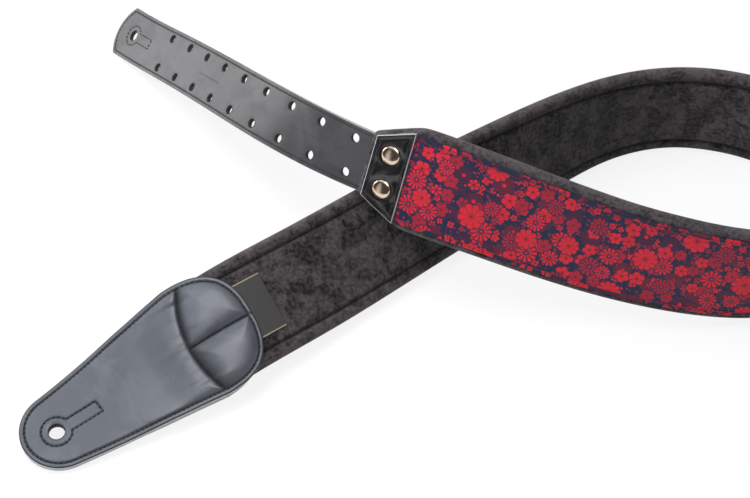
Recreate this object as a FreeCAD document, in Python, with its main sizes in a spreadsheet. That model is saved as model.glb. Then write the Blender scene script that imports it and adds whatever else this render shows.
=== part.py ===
import FreeCAD, Part
import math
import os

from FreeCAD import Vector

# A padded guitar strap. It is built along one centreline, the route, and every
# soft layer is a closed solid that follows it. Three directions go with each
# place on the route: "along" it, "width" across the strap and "face" through
# it. Face is positive towards the velour back and negative towards the
# flowered front. Distances along the route are called runs.

# The route: x, y and height of the centreline in mm, then the lean of the
# width direction above the table in degrees. The strap stands on its lower
# edge round the loop, its two ends turn over towards the table, and the end
# with the tongue crosses above the end with the tab.
ROUTE = (
    (-253, -205, 6, 14),
    (-205, -172, 13, 18),
    (-137, -122, 26, 31),
    (-81, -79, 28, 43),
    (-25, -36, 31, 54),
    (32, 5, 35, 68),
    (88, 46, 36, 81),
    (155, 74, 36, 91),
    (231, 54, 36, 90),
    (269, -15, 36, 90),
    (235, -76, 36, 89),
    (165, -86, 42, 97),
    (93, -73, 54, 105),
    (25, -56, 71, 111),
    (-42, -29, 80, 119),
    (-98, 15, 76, 132),
    (-141, 71, 58, 134),
    (-178, 128, 34, 137),
    (-217, 182, 14, 137),
    (-257, 235, 2, 138),
)
ROUTE_WIDTH = 70.0  # the body width at which these heights were chosen
ROUTE_SHIFT = (-11.3, 7.1, 0.1)  # puts the middle of the object's base at the origin

# The driving sizes, in millimetres unless their note says otherwise.
SIZES = (
    # the padded body
    ("body_width", 70.0, "across the padded body"),
    ("body_length", 933.0, "padded body, end to end"),
    ("body_tuck", 73.0, "length of body hidden between the tab leathers"),
    ("start_width", 62.0, "across the body's end inside the tab"),
    ("start_flare", 0.2, "growth of the body's half width per length from that end"),
    ("back_level", 4.5, "face of the velour back"),
    ("lip_level", 4.0, "face of the velour lips at the front"),
    ("lining_wall", 1.1, "thickness of the velour"),
    ("edge_radius", 3.6, "outer rounding of the rolled edge"),
    ("lip_width", 11.0, "velour turned over to the front at each edge"),
    ("layer_gap", 0.2, "air between two soft layers"),
    ("fabric_width", 60.0, "flowered face, across"),
    ("fabric_wall", 0.7, "thickness of the flowered fabric"),
    ("webbing_width", 34.0, "woven strap inside, across"),
    ("webbing_wall", 0.9, "thickness of the woven strap"),
    ("webbing_past", 7.0, "webbing beyond the screws"),
    ("end_pinch", 0.5, "share of the body's thickness left at its tab end"),
    ("pinch_length", 42.0, "length over which the body is pinched"),
    ("rim_width", 2.6, "velour showing round the plate"),
    ("fabric_overlap", 2.0, "fabric under the wide end of the plate"),
    ("label_width", 38.0, "woven label, along its folded edge"),
    ("label_depth", 22.0, "woven label, from the tab outwards"),
    ("label_wall", 0.2, "thickness of the woven label"),
    ("label_tuck", 6.0, "length of label under the tab"),
    # the end tab
    ("tab_start", 7.5, "run of the tab's tip"),
    ("tab_length", 160.5, "tab, tip to end"),
    ("tab_width", 75.0, "widest place of the tab"),
    ("tab_tip_radius", 24.5, "rounding of the tip"),
    ("tab_end_depth", 40.0, "widest place of the tab to its end"),
    ("tab_hole_inset", 22.0, "tip of the tab to its button hole"),
    ("tab_wall", 1.4, "thickness of each tab leather"),
    ("tab_core_wall", 1.8, "thickness of the stiff core at the keyhole"),
    ("tab_core_length", 52.0, "length of the stiff core"),
    ("tab_margin", 5.0, "seam allowance round what is inside the tab"),
    ("filler_inset", 3.0, "space at both ends of the flat foam"),
    ("cell_length", 32.0, "length of a quilted cell's foam"),
    ("cell_height", 2.2, "height of a quilted cell's foam"),
    ("cell_inset", 9.0, "end of the tab to the end of the cells"),
    ("cell_split", 3.0, "space between the two cells"),
    ("crown", 0.15, "rise of the tab's leather between its edges"),
    ("button_hole", 10.0, "diameter of the tab's button hole"),
    ("tab_slit", 24.0, "length of the slit beside the tab's hole"),
    ("slit_width", 0.5, "width of both slits"),
    # the tongue
    ("tongue_width", 39.0, "across the tongue at the plate"),
    ("tongue_tip_width", 37.2, "across the tongue at its end"),
    ("tongue_wall", 1.1, "thickness of each tongue leather"),
    ("tongue_core_wall", 0.7, "thickness of the tongue's core"),
    ("tongue_level", 2.7, "front face of the tongue"),
    ("tongue_tail", 14.0, "tongue beyond its last hidden hole"),
    ("tongue_tip", 21.0, "tongue beyond its button hole"),
    ("tongue_end_radius", 26.3, "rounding of the tongue's end"),
    ("tongue_button_hole", 8.0, "diameter of the tongue's button hole"),
    ("tongue_slit", 17.0, "length of the slit beside that hole"),
    ("keyhole_inset", 47.0, "last pair of holes to the button hole"),
    ("hole_pitch", 27.2, "pair to pair along the tongue"),
    ("hole_spacing", 22.8, "hole to hole across the tongue"),
    ("tongue_play", 0.4, "play round a post in the tongue, on the radius"),
    ("pocket_spare", 90.0, "room for the tongue's tail to slide in"),
    # the adjuster
    ("plate_inset", 3.5, "end of the body to the narrow end of the plate"),
    ("plate_length", 24.0, "plate, along the strap"),
    ("plate_wide", 62.0, "plate, across its wide end"),
    ("plate_spare", 1.0, "plate's narrow end, wider than the tongue"),
    ("plate_wall", 1.2, "thickness of the plate"),
    ("screw_inset", 12.2, "narrow end of the plate to the screws"),
    ("plate_play", 0.3, "play round a post in the plates, on the radius"),
    ("soft_play", 0.7, "play round a post in soft layers, on the radius"),
    ("rear_plate_width", 44.0, "rear plate, across"),
    ("rear_plate_length", 20.0, "rear plate, along the strap"),
    ("rear_plate_wall", 1.2, "thickness of the rear plate"),
    # the screw posts
    ("cap_diameter", 12.0, "domed cap"),
    ("cap_rim", 0.7, "straight rim of the cap"),
    ("cap_dome", 1.6, "dome above the rim"),
    ("post_diameter", 5.2, "outside of the post"),
    ("post_wall_end", 1.5, "solid metal between the cap and the bore"),
    ("post_end_inset", 0.4, "rear face of the rear plate to the post's end"),
    ("thread_diameter", 3.5, "screw's shank"),
    ("thread_play", 0.05, "play round the shank, on the radius"),
    ("thread_length", 8.0, "screw's shank, under its head"),
    ("washer_diameter", 10.5, "rear washer"),
    ("washer_wall", 0.6, "thickness of the rear washer"),
    ("washer_bore", 4.3, "hole of the rear washer"),
    ("head_diameter", 9.0, "rear screw head"),
    ("head_rim", 0.8, "straight rim of the screw head"),
    ("head_dome", 0.9, "dome of the screw head"),
    ("slot_width", 1.2, "screwdriver slot, across"),
    ("slot_depth", 0.9, "screwdriver slot, deep"),
    ("seat_gap", 0.35, "air under caps, washers and heads"),
)
VISIBLE_PAIRS = 9
HIDDEN_PAIRS = 2
LOFT_STEP = 15.0  # largest distance between two sections of a soft layer
END_POWER = 2.6  # shape of the tab's end, where 2 would be an ellipse
REACH = 30.0  # half length of a cutter, more than any stack of layers
SLACK = 6.0  # how far a layer runs past an outline that trims it
CELL_EDGE = 8.0  # length over which the leather rises to a quilted cell
ARC_STEPS = 3  # chords in each rounded corner of a section
CROWN_STEPS = 3  # chords in each half of the tab's crowned leather


class Route:
    """The centreline and its directions, as natural cubic splines."""

    STEPS = 40  # steps between two stations when the length is measured

    def __init__(self, stations, height_scale):
        columns = list(zip(*stations))
        columns[2] = tuple(height * height_scale for height in columns[2])
        for i, shift in enumerate(ROUTE_SHIFT):
            columns[i] = tuple(value + shift for value in columns[i])
        columns[3] = tuple(math.radians(lean) for lean in columns[3])
        self.columns = columns
        self.bends = [self.natural_bends(column) for column in columns]
        self.last = len(stations) - 1
        self.knots = [0.0]
        before = self.position(0.0)
        for step in range(1, self.last * self.STEPS + 1):
            here = self.position(step / self.STEPS)
            self.knots.append(self.knots[-1] + (here - before).Length)
            before = here

    @staticmethod
    def natural_bends(values):
        """Second derivatives of the natural spline through values."""
        inner = len(values) - 2
        upper = [0.0] * inner
        right = [0.0] * inner
        for i in range(inner):
            load = 6 * (values[i] - 2 * values[i + 1] + values[i + 2])
            pivot = 4.0 - (upper[i - 1] if i else 0.0)
            upper[i] = 1.0 / pivot
            right[i] = (load - (right[i - 1] if i else 0.0)) / pivot
        bends = [0.0] * len(values)
        for i in reversed(range(inner)):
            bends[i + 1] = right[i] - upper[i] * bends[i + 2]
        return bends

    def value(self, column, station):
        """Spline value and slope of one column at a fractional station."""
        i = min(int(station), self.last - 1)
        f = station - i
        low, high = self.columns[column][i:i + 2]
        bend_low, bend_high = self.bends[column][i:i + 2]
        g = 1.0 - f
        value = g * low + f * high + ((g ** 3 - g) * bend_low + (f ** 3 - f) * bend_high) / 6
        slope = high - low + ((3 * f * f - 1) * bend_high - (3 * g * g - 1) * bend_low) / 6
        return value, slope

    def position(self, station):
        return Vector(*(self.value(column, station)[0] for column in range(3)))

    def station(self, run):
        """Fractional station at a run between the route's ends."""
        low, high = 0, len(self.knots) - 1
        while high - low > 1:
            middle = (low + high) // 2
            if self.knots[middle] <= run:
                low = middle
            else:
                high = middle
        share = (run - self.knots[low]) / (self.knots[high] - self.knots[low])
        return (low + share) / self.STEPS

    def frame(self, run):
        """Centre, along, width and face at a run. It goes on straight past both ends."""
        inside = min(max(run, 0.0), self.knots[-1])
        station = self.station(inside)
        along = Vector(*(self.value(column, station)[1] for column in range(3)))
        along.normalize()
        level = Vector(0, 0, 1).cross(along)
        level.normalize()
        upright = along.cross(level)
        lean = self.value(3, station)[0]
        width = level * math.cos(lean) + upright * math.sin(lean)
        centre = self.position(station) + along * (run - inside)
        return centre, along, width, along.cross(width)

    def point(self, run, across, out):
        centre, _, width, face = self.frame(run)
        return centre + width * across + face * out


def blend(low, high, share):
    """Smooth change from low to high while share goes from 0 to 1."""
    share = min(max(share, 0.0), 1.0)
    return low + (high - low) * share * share * (3 - 2 * share)


def soft_min(first, second, radius):
    """The smaller of two values, with a rounded change from one to the other."""
    return (first + second - math.hypot(first - second, radius)) / 2


def stops(start, end, *extra):
    """Runs of a layer's sections: even, close, and at the extra places too."""
    marks = sorted({start, end, *(run for run in extra if start < run < end)})
    runs = []
    for low, high in zip(marks, marks[1:]):
        count = max(1, math.ceil((high - low) / LOFT_STEP))
        runs += [low + (high - low) * i / count for i in range(count)]
    return runs + [end]


def corner_points(corners):
    """Points of a closed section, with an arc of points at each corner that has a radius.

    A corner is its across and out, its radius, and the unit directions from
    it to the corner before and the corner after.
    """
    points = []
    for across, out, radius, before, after in corners:
        if radius <= 0:
            points.append((across, out))
            continue
        for i in range(ARC_STEPS + 1):
            turn = math.pi / 2 * i / ARC_STEPS
            back, on = 1 - math.sin(turn), 1 - math.cos(turn)
            points.append((across + radius * (before[0] * back + after[0] * on),
                           out + radius * (before[1] * back + after[1] * on)))
    return points


def rounded_section(half, front, back, front_round, back_round):
    """Closed section: a rectangle with rounded front and back corners."""
    return corner_points((
        (-half, front, front_round, (0, 1), (1, 0)),
        (half, front, front_round, (-1, 0), (0, 1)),
        (half, back, back_round, (0, -1), (-1, 0)),
        (-half, back, back_round, (1, 0), (0, -1)),
    ))


def plain_section(half, front, back):
    """Closed section: a rectangle."""
    return [(-half, front), (half, front), (half, back), (-half, back)]


def wrap_section(half, front, back, wall, radius, lip):
    """Closed section of a cloth that covers the back and rolls over both edges."""
    inner = radius - wall
    return corner_points((
        (-half, back, radius, (1, 0), (0, -1)),
        (-half, front, radius, (0, 1), (1, 0)),
        (-half + lip, front, 0.0, (-1, 0), (0, 1)),
        (-half + lip, front + wall, 0.0, (0, -1), (-1, 0)),
        (-half + wall, front + wall, inner, (1, 0), (0, 1)),
        (-half + wall, back - wall, inner, (0, -1), (1, 0)),
        (half - wall, back - wall, inner, (-1, 0), (0, -1)),
        (half - wall, front + wall, inner, (0, 1), (-1, 0)),
        (half - lip, front + wall, 0.0, (1, 0), (0, -1)),
        (half - lip, front, 0.0, (0, 1), (1, 0)),
        (half, front, radius, (-1, 0), (0, 1)),
        (half, back, radius, (0, -1), (-1, 0)),
    ))


class Strap:
    """Builds the document: the sheet first, then one object for each piece."""

    def __init__(self):
        self.document = FreeCAD.newDocument("guitar_strap")
        self.sheet = self.document.addObject("Spreadsheet::Sheet", "Sizes")
        for row, (alias, value, note) in enumerate(SIZES, start=1):
            self.sheet.set("A%d" % row, note)
            self.sheet.set("B%d" % row, str(value))
            self.sheet.setAlias("B%d" % row, alias)
        self.document.recompute()
        self.route = Route(ROUTE, self.size("body_width") / ROUTE_WIDTH)
        self.pieces = []
        self.set_places()

    def size(self, alias):
        return float(self.sheet.get(alias))

    def set_places(self):
        """Runs of the places that several pieces share."""
        size = self.size
        self.tab_start = size("tab_start")
        self.tab_end = self.tab_start + size("tab_length")
        self.tab_hole = self.tab_start + size("tab_hole_inset")
        self.core_end = self.tab_start + size("tab_margin") + size("tab_core_length")
        self.cell_end = self.tab_end - size("cell_inset")
        self.cell_start = self.cell_end - size("cell_length")
        self.body_start = self.tab_end - size("body_tuck")
        self.body_end = self.body_start + size("body_length")
        self.plate_narrow_end = self.body_end - size("plate_inset")
        self.plate_wide_end = self.plate_narrow_end - size("plate_length")
        self.screw_run = self.plate_narrow_end - size("screw_inset")
        self.tongue_start = (self.screw_run - HIDDEN_PAIRS * size("hole_pitch")
                             - size("tongue_tail"))
        self.pocket_start = self.tongue_start - size("pocket_spare")
        self.tongue_hole = (self.screw_run + VISIBLE_PAIRS * size("hole_pitch")
                            + size("keyhole_inset"))
        self.tongue_end = self.tongue_hole + size("tongue_tip")
        gap = size("layer_gap")
        self.fabric_back = -size("lip_level") - gap
        self.fabric_front = self.fabric_back - size("fabric_wall")
        self.plate_back = self.fabric_front - gap
        self.plate_front = self.plate_back - size("plate_wall")
        self.rear_plate_front = size("back_level") + gap
        self.rear_plate_back = self.rear_plate_front + size("rear_plate_wall")
        self.core_front = -size("tongue_level") + size("tongue_wall") + 0.75 * gap
        self.core_back = self.core_front + size("tongue_core_wall")
        self.tongue_back = self.core_back + 0.75 * gap + size("tongue_wall")

    # -- levels that several pieces share --------------------------------------

    def pinch(self, run):
        """Share of the body's full thickness at a run."""
        share = (run - self.body_start) / self.size("pinch_length")
        return blend(self.size("end_pinch"), 1.0, share)

    def plate_half(self, run):
        """Half width of the plate's outline at a run."""
        wide = self.size("plate_wide") / 2
        narrow = (self.size("tongue_width") + self.size("plate_spare")) / 2
        return wide + (narrow - wide) * (run - self.plate_wide_end) / self.size("plate_length")

    def body_half(self, run):
        """Half width of the padded body at a run."""
        limit = self.plate_half(run) + self.size("rim_width")
        near_plate = soft_min(self.size("body_width") / 2, limit, 2.0)
        flare = self.size("start_flare") * (run - self.body_start)
        return soft_min(near_plate, self.size("start_width") / 2 + flare, 2.0)

    def tongue_half(self, run):
        share = (run - self.screw_run) / (self.tongue_end - self.screw_run)
        return blend(self.size("tongue_width"), self.size("tongue_tip_width"), share) / 2

    def over_back(self, run):
        """Underside of the tab's top leather at its edges."""
        gap = self.size("layer_gap")
        room = 2 * gap + self.size("label_wall")
        over_core = self.size("tab_core_wall") / 2 + gap
        over_end = self.size("back_level") * self.size("end_pinch") + room
        if run < self.body_start:
            share = (run - self.core_end) / (self.body_start - self.core_end)
            return blend(over_core, over_end, share)
        return self.size("back_level") * self.pinch(run) + room

    def under_front(self, run):
        """Upper side of the tab's bottom leather, as a distance from the centreline."""
        gap = self.size("layer_gap")
        room = 2 * gap + self.size("fabric_wall")
        under_core = self.size("tab_core_wall") / 2 + gap
        under_end = self.size("lip_level") * self.size("end_pinch") + room
        if run < self.body_start:
            share = (run - self.core_end) / (self.body_start - self.core_end)
            return blend(under_core, under_end, share)
        return self.size("lip_level") * self.pinch(run) + room

    def leather_level(self, run, share):
        """Underside of the tab's top leather, at a share of its half width."""
        up = blend(0.0, 1.0, (run - self.cell_start + CELL_EDGE) / CELL_EDGE)
        down = blend(1.0, 0.0, (run - self.cell_end) / CELL_EDGE)
        full = self.size("cell_height") + self.size("layer_gap")
        rise = self.size("crown") + full * up * down
        return self.over_back(run) + rise * (1 - share * share)

    # -- shapes ----------------------------------------------------------------

    def layer(self, runs, section):
        """Solid whose section, a closed list of points, is given at each run.

        Each point of the section runs along the strap as one smooth rail, and
        the strips between neighbouring rails are the solid's sides.
        """
        rows = [[self.route.point(run, across, out) for across, out in section(run)]
                for run in runs]
        rails = []
        for places in zip(*rows):
            rail = Part.BSplineCurve()
            rail.interpolate(Points=list(places), Parameters=list(runs))
            rails.append(rail)
        faces = [self.strip(rail, after) for rail, after in zip(rails, rails[1:] + rails[:1])]
        faces += [Part.Face(Part.makePolygon(row + row[:1])) for row in (rows[0], rows[-1])]
        shell = Part.Shell(faces)
        shell.sewShape()
        solid = Part.Solid(shell)
        if solid.Volume < 0:
            solid.reverse()
        return solid

    @staticmethod
    def strip(rail, after):
        """Face straight across from one rail to the next."""
        surface = Part.BSplineSurface()
        surface.buildFromPolesMultsKnots(
            [list(pair) for pair in zip(rail.getPoles(), after.getPoles())],
            rail.getMultiplicities(), [2, 2], rail.getKnots(), [0.0, 1.0],
            False, False, rail.Degree, 1)
        return surface.toShape()

    def drill(self, run, across, diameter):
        """Cutter for a round hole along the face direction."""
        centre, _, width, face = self.route.frame(run)
        start = centre + width * across - face * REACH
        return Part.makeCylinder(diameter / 2, 2 * REACH, start, face)

    def post_hole(self, play):
        """Diameter of a hole that a post passes with a named play on the radius."""
        return self.size("post_diameter") + 2 * self.size(play)

    def drill_pairs(self, runs, diameter):
        """Cutters for the same hole on both sides of the centreline at each run."""
        half = self.size("hole_spacing") / 2
        return [self.drill(run, across, diameter) for run in runs for across in (-half, half)]

    def slit(self, run, length, sense):
        """Cutter for a slit from a button hole's centre, along the route or against it."""
        centre, along, _, face = self.route.frame(run)
        forward = along * sense
        side = face.cross(forward)
        half = self.size("slit_width") / 2
        box = Part.makeBox(length, 2 * half, 2 * REACH)
        box.Placement = placement(centre - side * half - face * REACH, forward, side, face)
        return box

    def button_hole(self, run, diameter, length, sense):
        """Cutters for a round hole with its slit."""
        return [self.drill(run, 0.0, diameter), self.slit(run, diameter / 2 + length, sense)]

    def tab_prism(self, inset):
        """Solid that trims a layer to the tab's outline, less a margin."""
        tip_radius = self.size("tab_tip_radius")
        tip_centre = self.tab_start + tip_radius
        wide_run = self.tab_end - self.size("tab_end_depth")
        wide_half = self.size("tab_width") / 2
        distance = math.hypot(wide_run - tip_centre, wide_half)
        touch = math.atan2(wide_half, wide_run - tip_centre) + math.acos(tip_radius / distance)
        half_outline = []
        for i in range(7):
            turn = math.pi - (math.pi - touch) * i / 6
            half_outline.append((tip_centre + (tip_radius - inset) * math.cos(turn),
                                 (tip_radius - inset) * math.sin(turn)))
        start_run, start_half = half_outline[-1]
        for i in range(1, 5):
            share = i / 5
            half_outline.append((start_run + (wide_run - start_run) * share,
                                 start_half + (wide_half - inset - start_half) * share))
        for i in range(9):
            turn = math.pi / 2 * i / 8
            half_outline.append((
                wide_run + (self.size("tab_end_depth") - inset) * math.sin(turn) ** (2 / END_POWER),
                (wide_half - inset) * max(math.cos(turn), 0.0) ** (2 / END_POWER)))
        other_half = [(run, -half) for run, half in reversed(half_outline[1:-1])]
        middle = (self.tab_start + self.tab_end) / 2
        centre, _, _, face = self.route.frame(middle)
        places = []
        for run, across in half_outline + other_half:
            place = self.route.point(run, across, 0.0)
            places.append(place - face * (place - centre).dot(face) - face * REACH)
        outline = Part.BSplineCurve()
        outline.interpolate(places, PeriodicFlag=True)
        return Part.Face(Part.Wire(outline.toShape())).extrude(face * 2 * REACH)

    def tongue_trim(self):
        """Solid that rounds the tongue's end."""
        radius = self.size("tongue_end_radius")
        centre, along, width, face = self.route.frame(self.tongue_end - radius / 3)
        middle = centre - along * (radius * 2 / 3)
        reach = self.size("tongue_width")
        box = Part.makeBox(2 * reach, 2 * reach, 2 * REACH)
        box.Placement = placement(middle + along * (radius / 2) - width * reach - face * REACH,
                                  along, width, face)
        return box.cut(Part.makeCylinder(radius, 2 * REACH, middle - face * REACH, face))

    def add_soft(self, name, shape):
        """Put a soft piece in the document."""
        piece = self.document.addObject("Part::Feature", name)
        piece.Shape = shape
        piece.Label = name
        self.pieces.append(piece)

    # -- padded body -----------------------------------------------------------

    def build_body(self):
        size = self.size
        gap = size("layer_gap")
        wall = size("lining_wall")
        webbing_end = self.screw_run + size("webbing_past")
        webbing_half = size("webbing_width") / 2
        taper = (self.plate_wide_end - 2 * size("rim_width"), self.plate_wide_end, webbing_end)

        def lining(run):
            pinch = self.pinch(run)
            half = self.body_half(run)
            lip = max(half - webbing_half - gap, size("edge_radius") + wall)
            return wrap_section(half, -size("lip_level") * pinch, size("back_level") * pinch,
                                wall, size("edge_radius") * pinch,
                                min(lip, size("lip_width")))

        def foam(run):
            pinch = self.pinch(run)
            back = size("back_level") * pinch - wall - gap
            front = -size("lip_level") * pinch + wall + gap
            corner = size("edge_radius") * pinch - wall - gap
            return rounded_section(self.body_half(run) - wall - gap, front, back, corner, corner)

        def pocket(run):
            back = size("back_level") - wall - gap
            front = self.tongue_back + gap
            corner = size("edge_radius") - wall - gap
            half = self.body_half(run) - wall - gap
            return rounded_section(half, front, back, gap, min(corner, back - front - 2 * gap))

        def webbing(run):
            front = -size("lip_level") * self.pinch(run)
            return plain_section(webbing_half, front, front + size("webbing_wall"))

        def fabric(run):
            back = -size("lip_level") * self.pinch(run) - gap
            half = min(size("fabric_width") / 2, self.plate_half(run) - 1.0)
            return plain_section(half, back - size("fabric_wall"), back)

        def label(run):
            front = size("back_level") + gap
            return plain_section(size("label_width") / 2, front, front + size("label_wall"))

        holes = self.drill_pairs([self.screw_run], self.post_hole("soft_play"))
        shape = self.layer(stops(self.body_start, self.body_end, *taper), lining)
        self.add_soft("back_lining", shape.cut(holes))
        self.add_soft("foam_pad", self.layer(stops(self.body_start, self.pocket_start), foam))
        shape = self.layer(stops(self.pocket_start + gap, self.body_end, *taper), pocket)
        self.add_soft("pocket_pad", shape.cut(holes))
        runs = stops(self.body_start + gap, webbing_end)
        self.add_soft("webbing_core", self.layer(runs, webbing).cut(holes))
        runs = stops(self.body_start, self.plate_wide_end + size("fabric_overlap"),
                     self.plate_wide_end)
        self.add_soft("front_fabric", self.layer(runs, fabric))
        start = self.tab_end - size("label_tuck")
        self.add_soft("woven_label", self.layer(stops(start, start + size("label_depth")), label))

    # -- end tab ---------------------------------------------------------------

    def build_tab(self):
        size = self.size
        gap = size("layer_gap")
        wall = size("tab_wall")
        wide = size("tab_width") / 2 + SLACK
        core = size("tab_core_wall") / 2
        split = size("cell_split") / 2

        def top_leather(run):
            under = [(wide * step / CROWN_STEPS, self.leather_level(run, step / CROWN_STEPS))
                     for step in range(-CROWN_STEPS, CROWN_STEPS + 1)]
            return under + [(across, level + wall) for across, level in reversed(under)]

        def bottom_leather(run):
            back = -self.under_front(run)
            return plain_section(wide, back - wall, back)

        def filler(run):
            return plain_section(wide, gap - self.under_front(run), self.over_back(run) - gap)

        def cell(side):
            def section(run):
                low = size("back_level") * self.pinch(run) + gap
                places = [split + (wide - SLACK - split) * step / CROWN_STEPS
                          for step in range(CROWN_STEPS + 1)]
                top = [(side * across, self.leather_level(run, across / wide) - gap)
                       for across in places]
                return top + [(side * places[-1], low), (side * places[0], low)]
            return section

        outline = self.tab_prism(0.0)
        inner_outline = self.tab_prism(size("tab_margin"))
        runs = stops(self.tab_start - SLACK, self.tab_end + SLACK, self.core_end,
                     self.body_start, self.cell_start - CELL_EDGE, self.cell_start,
                     self.cell_end, self.cell_end + CELL_EDGE)
        hole = self.button_hole(self.tab_hole, size("button_hole"), size("tab_slit"), 1)
        for name, section in (("tab_top_leather", top_leather),
                              ("tab_bottom_leather", bottom_leather)):
            self.add_soft(name, self.layer(runs, section).common(outline).cut(hole))
        runs = stops(self.tab_start - SLACK, self.core_end)
        shape = self.layer(runs, lambda run: plain_section(wide, -core, core))
        self.add_soft("tab_core", shape.common(inner_outline).cut(hole))
        runs = stops(self.core_end + size("filler_inset"), self.body_start - size("filler_inset"))
        self.add_soft("tab_filler", self.layer(runs, filler).common(inner_outline))
        runs = stops(self.cell_start, self.cell_end)
        for name, side in (("tab_cell_upper", 1), ("tab_cell_lower", -1)):
            self.add_soft(name, self.layer(runs, cell(side)).common(inner_outline))

    # -- tongue ----------------------------------------------------------------

    def build_tongue(self):
        size = self.size
        levels = (
            ("tongue_top_leather", -size("tongue_level"), -size("tongue_level") + size("tongue_wall")),
            ("tongue_core", self.core_front, self.core_back),
            ("tongue_bottom_leather", self.tongue_back - size("tongue_wall"), self.tongue_back),
        )
        runs = stops(self.tongue_start, self.tongue_end + SLACK)
        pairs = [self.screw_run + i * size("hole_pitch")
                 for i in range(-HIDDEN_PAIRS, VISIBLE_PAIRS + 1)]
        cutters = [self.tongue_trim(), *self.drill_pairs(pairs, self.post_hole("tongue_play")),
                   *self.button_hole(self.tongue_hole, size("tongue_button_hole"),
                                     size("tongue_slit"), -1)]
        for name, front, back in levels:
            shape = self.layer(
                runs, lambda run: plain_section(self.tongue_half(run), front, back))
            self.add_soft(name, shape.cut(cutters))

    # -- adjuster --------------------------------------------------------------

    def build_plates(self):
        size = self.size
        holes = self.drill_pairs([self.screw_run], self.post_hole("plate_play"))
        shape = self.layer(
            stops(self.plate_wide_end, self.plate_narrow_end),
            lambda run: plain_section(self.plate_half(run), self.plate_front, self.plate_back))
        self.add_soft("adjuster_plate", shape.cut(holes))
        start = self.plate_wide_end + size("fabric_overlap") + size("layer_gap")
        shape = self.layer(
            stops(start, self.plate_narrow_end - size("layer_gap")),
            lambda run: plain_section(self.plate_half(run) - 1.0, self.fabric_front,
                                      self.fabric_back))
        self.add_soft("plate_liner", shape.cut(holes))
        half_length = size("rear_plate_length") / 2
        shape = self.layer(
            stops(self.screw_run - half_length, self.screw_run + half_length),
            lambda run: plain_section(soft_min(size("rear_plate_width") / 2,
                                               self.body_half(run) - size("rim_width"), 1.0),
                                      self.rear_plate_front, self.rear_plate_back))
        self.add_soft("rear_plate", shape.cut(holes))

    # -- screw posts, as primitives bound to the sheet --------------------------

    def primitive(self, kind, name, **bindings):
        """Part primitive whose sizes are expressions of the sheet."""
        piece = self.document.addObject("Part::" + kind, name)
        for prop, expression in bindings.items():
            piece.setExpression(prop.replace("__", "."), expression)
        return piece

    def joined(self, kind, name, *parts):
        """Boolean of two objects, or a fuse of several."""
        piece = self.document.addObject("Part::" + kind, name)
        if kind == "MultiFuse":
            piece.Shapes = list(parts)
        else:
            piece.Base, piece.Tool = parts
        return piece

    def seat(self, side, level, sense):
        """Placement on the face direction at one of the two screws."""
        centre, along, width, face = self.route.frame(self.screw_run)
        across = width * (side * self.size("hole_spacing") / 2)
        upward = face * sense
        return placement(centre + across + face * level, along, upward.cross(along), upward)

    def add_hardware(self, piece, name, side, level, sense):
        piece.Label = name
        piece.Placement = self.seat(side, level, sense)
        self.pieces.append(piece)

    def build_cap(self, index, side):
        """Domed cap with its hollow threaded post, seen from the front."""
        length = ("(Sizes.back_level + Sizes.lip_level + Sizes.fabric_wall + Sizes.plate_wall"
                  " + Sizes.rear_plate_wall + 3 * Sizes.layer_gap + Sizes.seat_gap"
                  " - Sizes.post_end_inset)")
        tag = str(index)
        rim = self.primitive("Cylinder", "CapRim" + tag, Radius="Sizes.cap_diameter / 2",
                             Height="Sizes.cap_rim")
        dome = self.primitive("Ellipsoid", "CapDome" + tag, Radius1="Sizes.cap_dome",
                              Radius2="Sizes.cap_diameter / 2",
                              Radius3="Sizes.cap_diameter / 2",
                              Placement__Base__z="Sizes.cap_rim")
        dome.Angle1 = 0
        post = self.primitive("Cylinder", "Post" + tag, Radius="Sizes.post_diameter / 2",
                              Height=length + " + Sizes.cap_rim",
                              Placement__Base__z="-" + length)
        bore = self.primitive("Cylinder", "PostBore" + tag,
                              Radius="Sizes.thread_diameter / 2 + Sizes.thread_play",
                              Height=length + " - Sizes.post_wall_end",
                              Placement__Base__z="-" + length)
        solid = self.joined("MultiFuse", "CapSolid" + tag, rim, dome, post)
        cap = self.joined("Cut", "PostCap" + tag, solid, bore)
        level = self.plate_front - self.size("seat_gap")
        self.add_hardware(cap, "post_cap_" + tag, side, level, -1)

    def build_washer(self, index, side):
        tag = str(index)
        disc = self.primitive("Cylinder", "WasherDisc" + tag,
                              Radius="Sizes.washer_diameter / 2", Height="Sizes.washer_wall")
        hole = self.primitive("Cylinder", "WasherHole" + tag,
                              Radius="Sizes.washer_bore / 2", Height="Sizes.washer_wall")
        washer = self.joined("Cut", "Washer" + tag, disc, hole)
        level = self.rear_plate_back + self.size("seat_gap")
        self.add_hardware(washer, "rear_washer_" + tag, side, level, 1)

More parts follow.
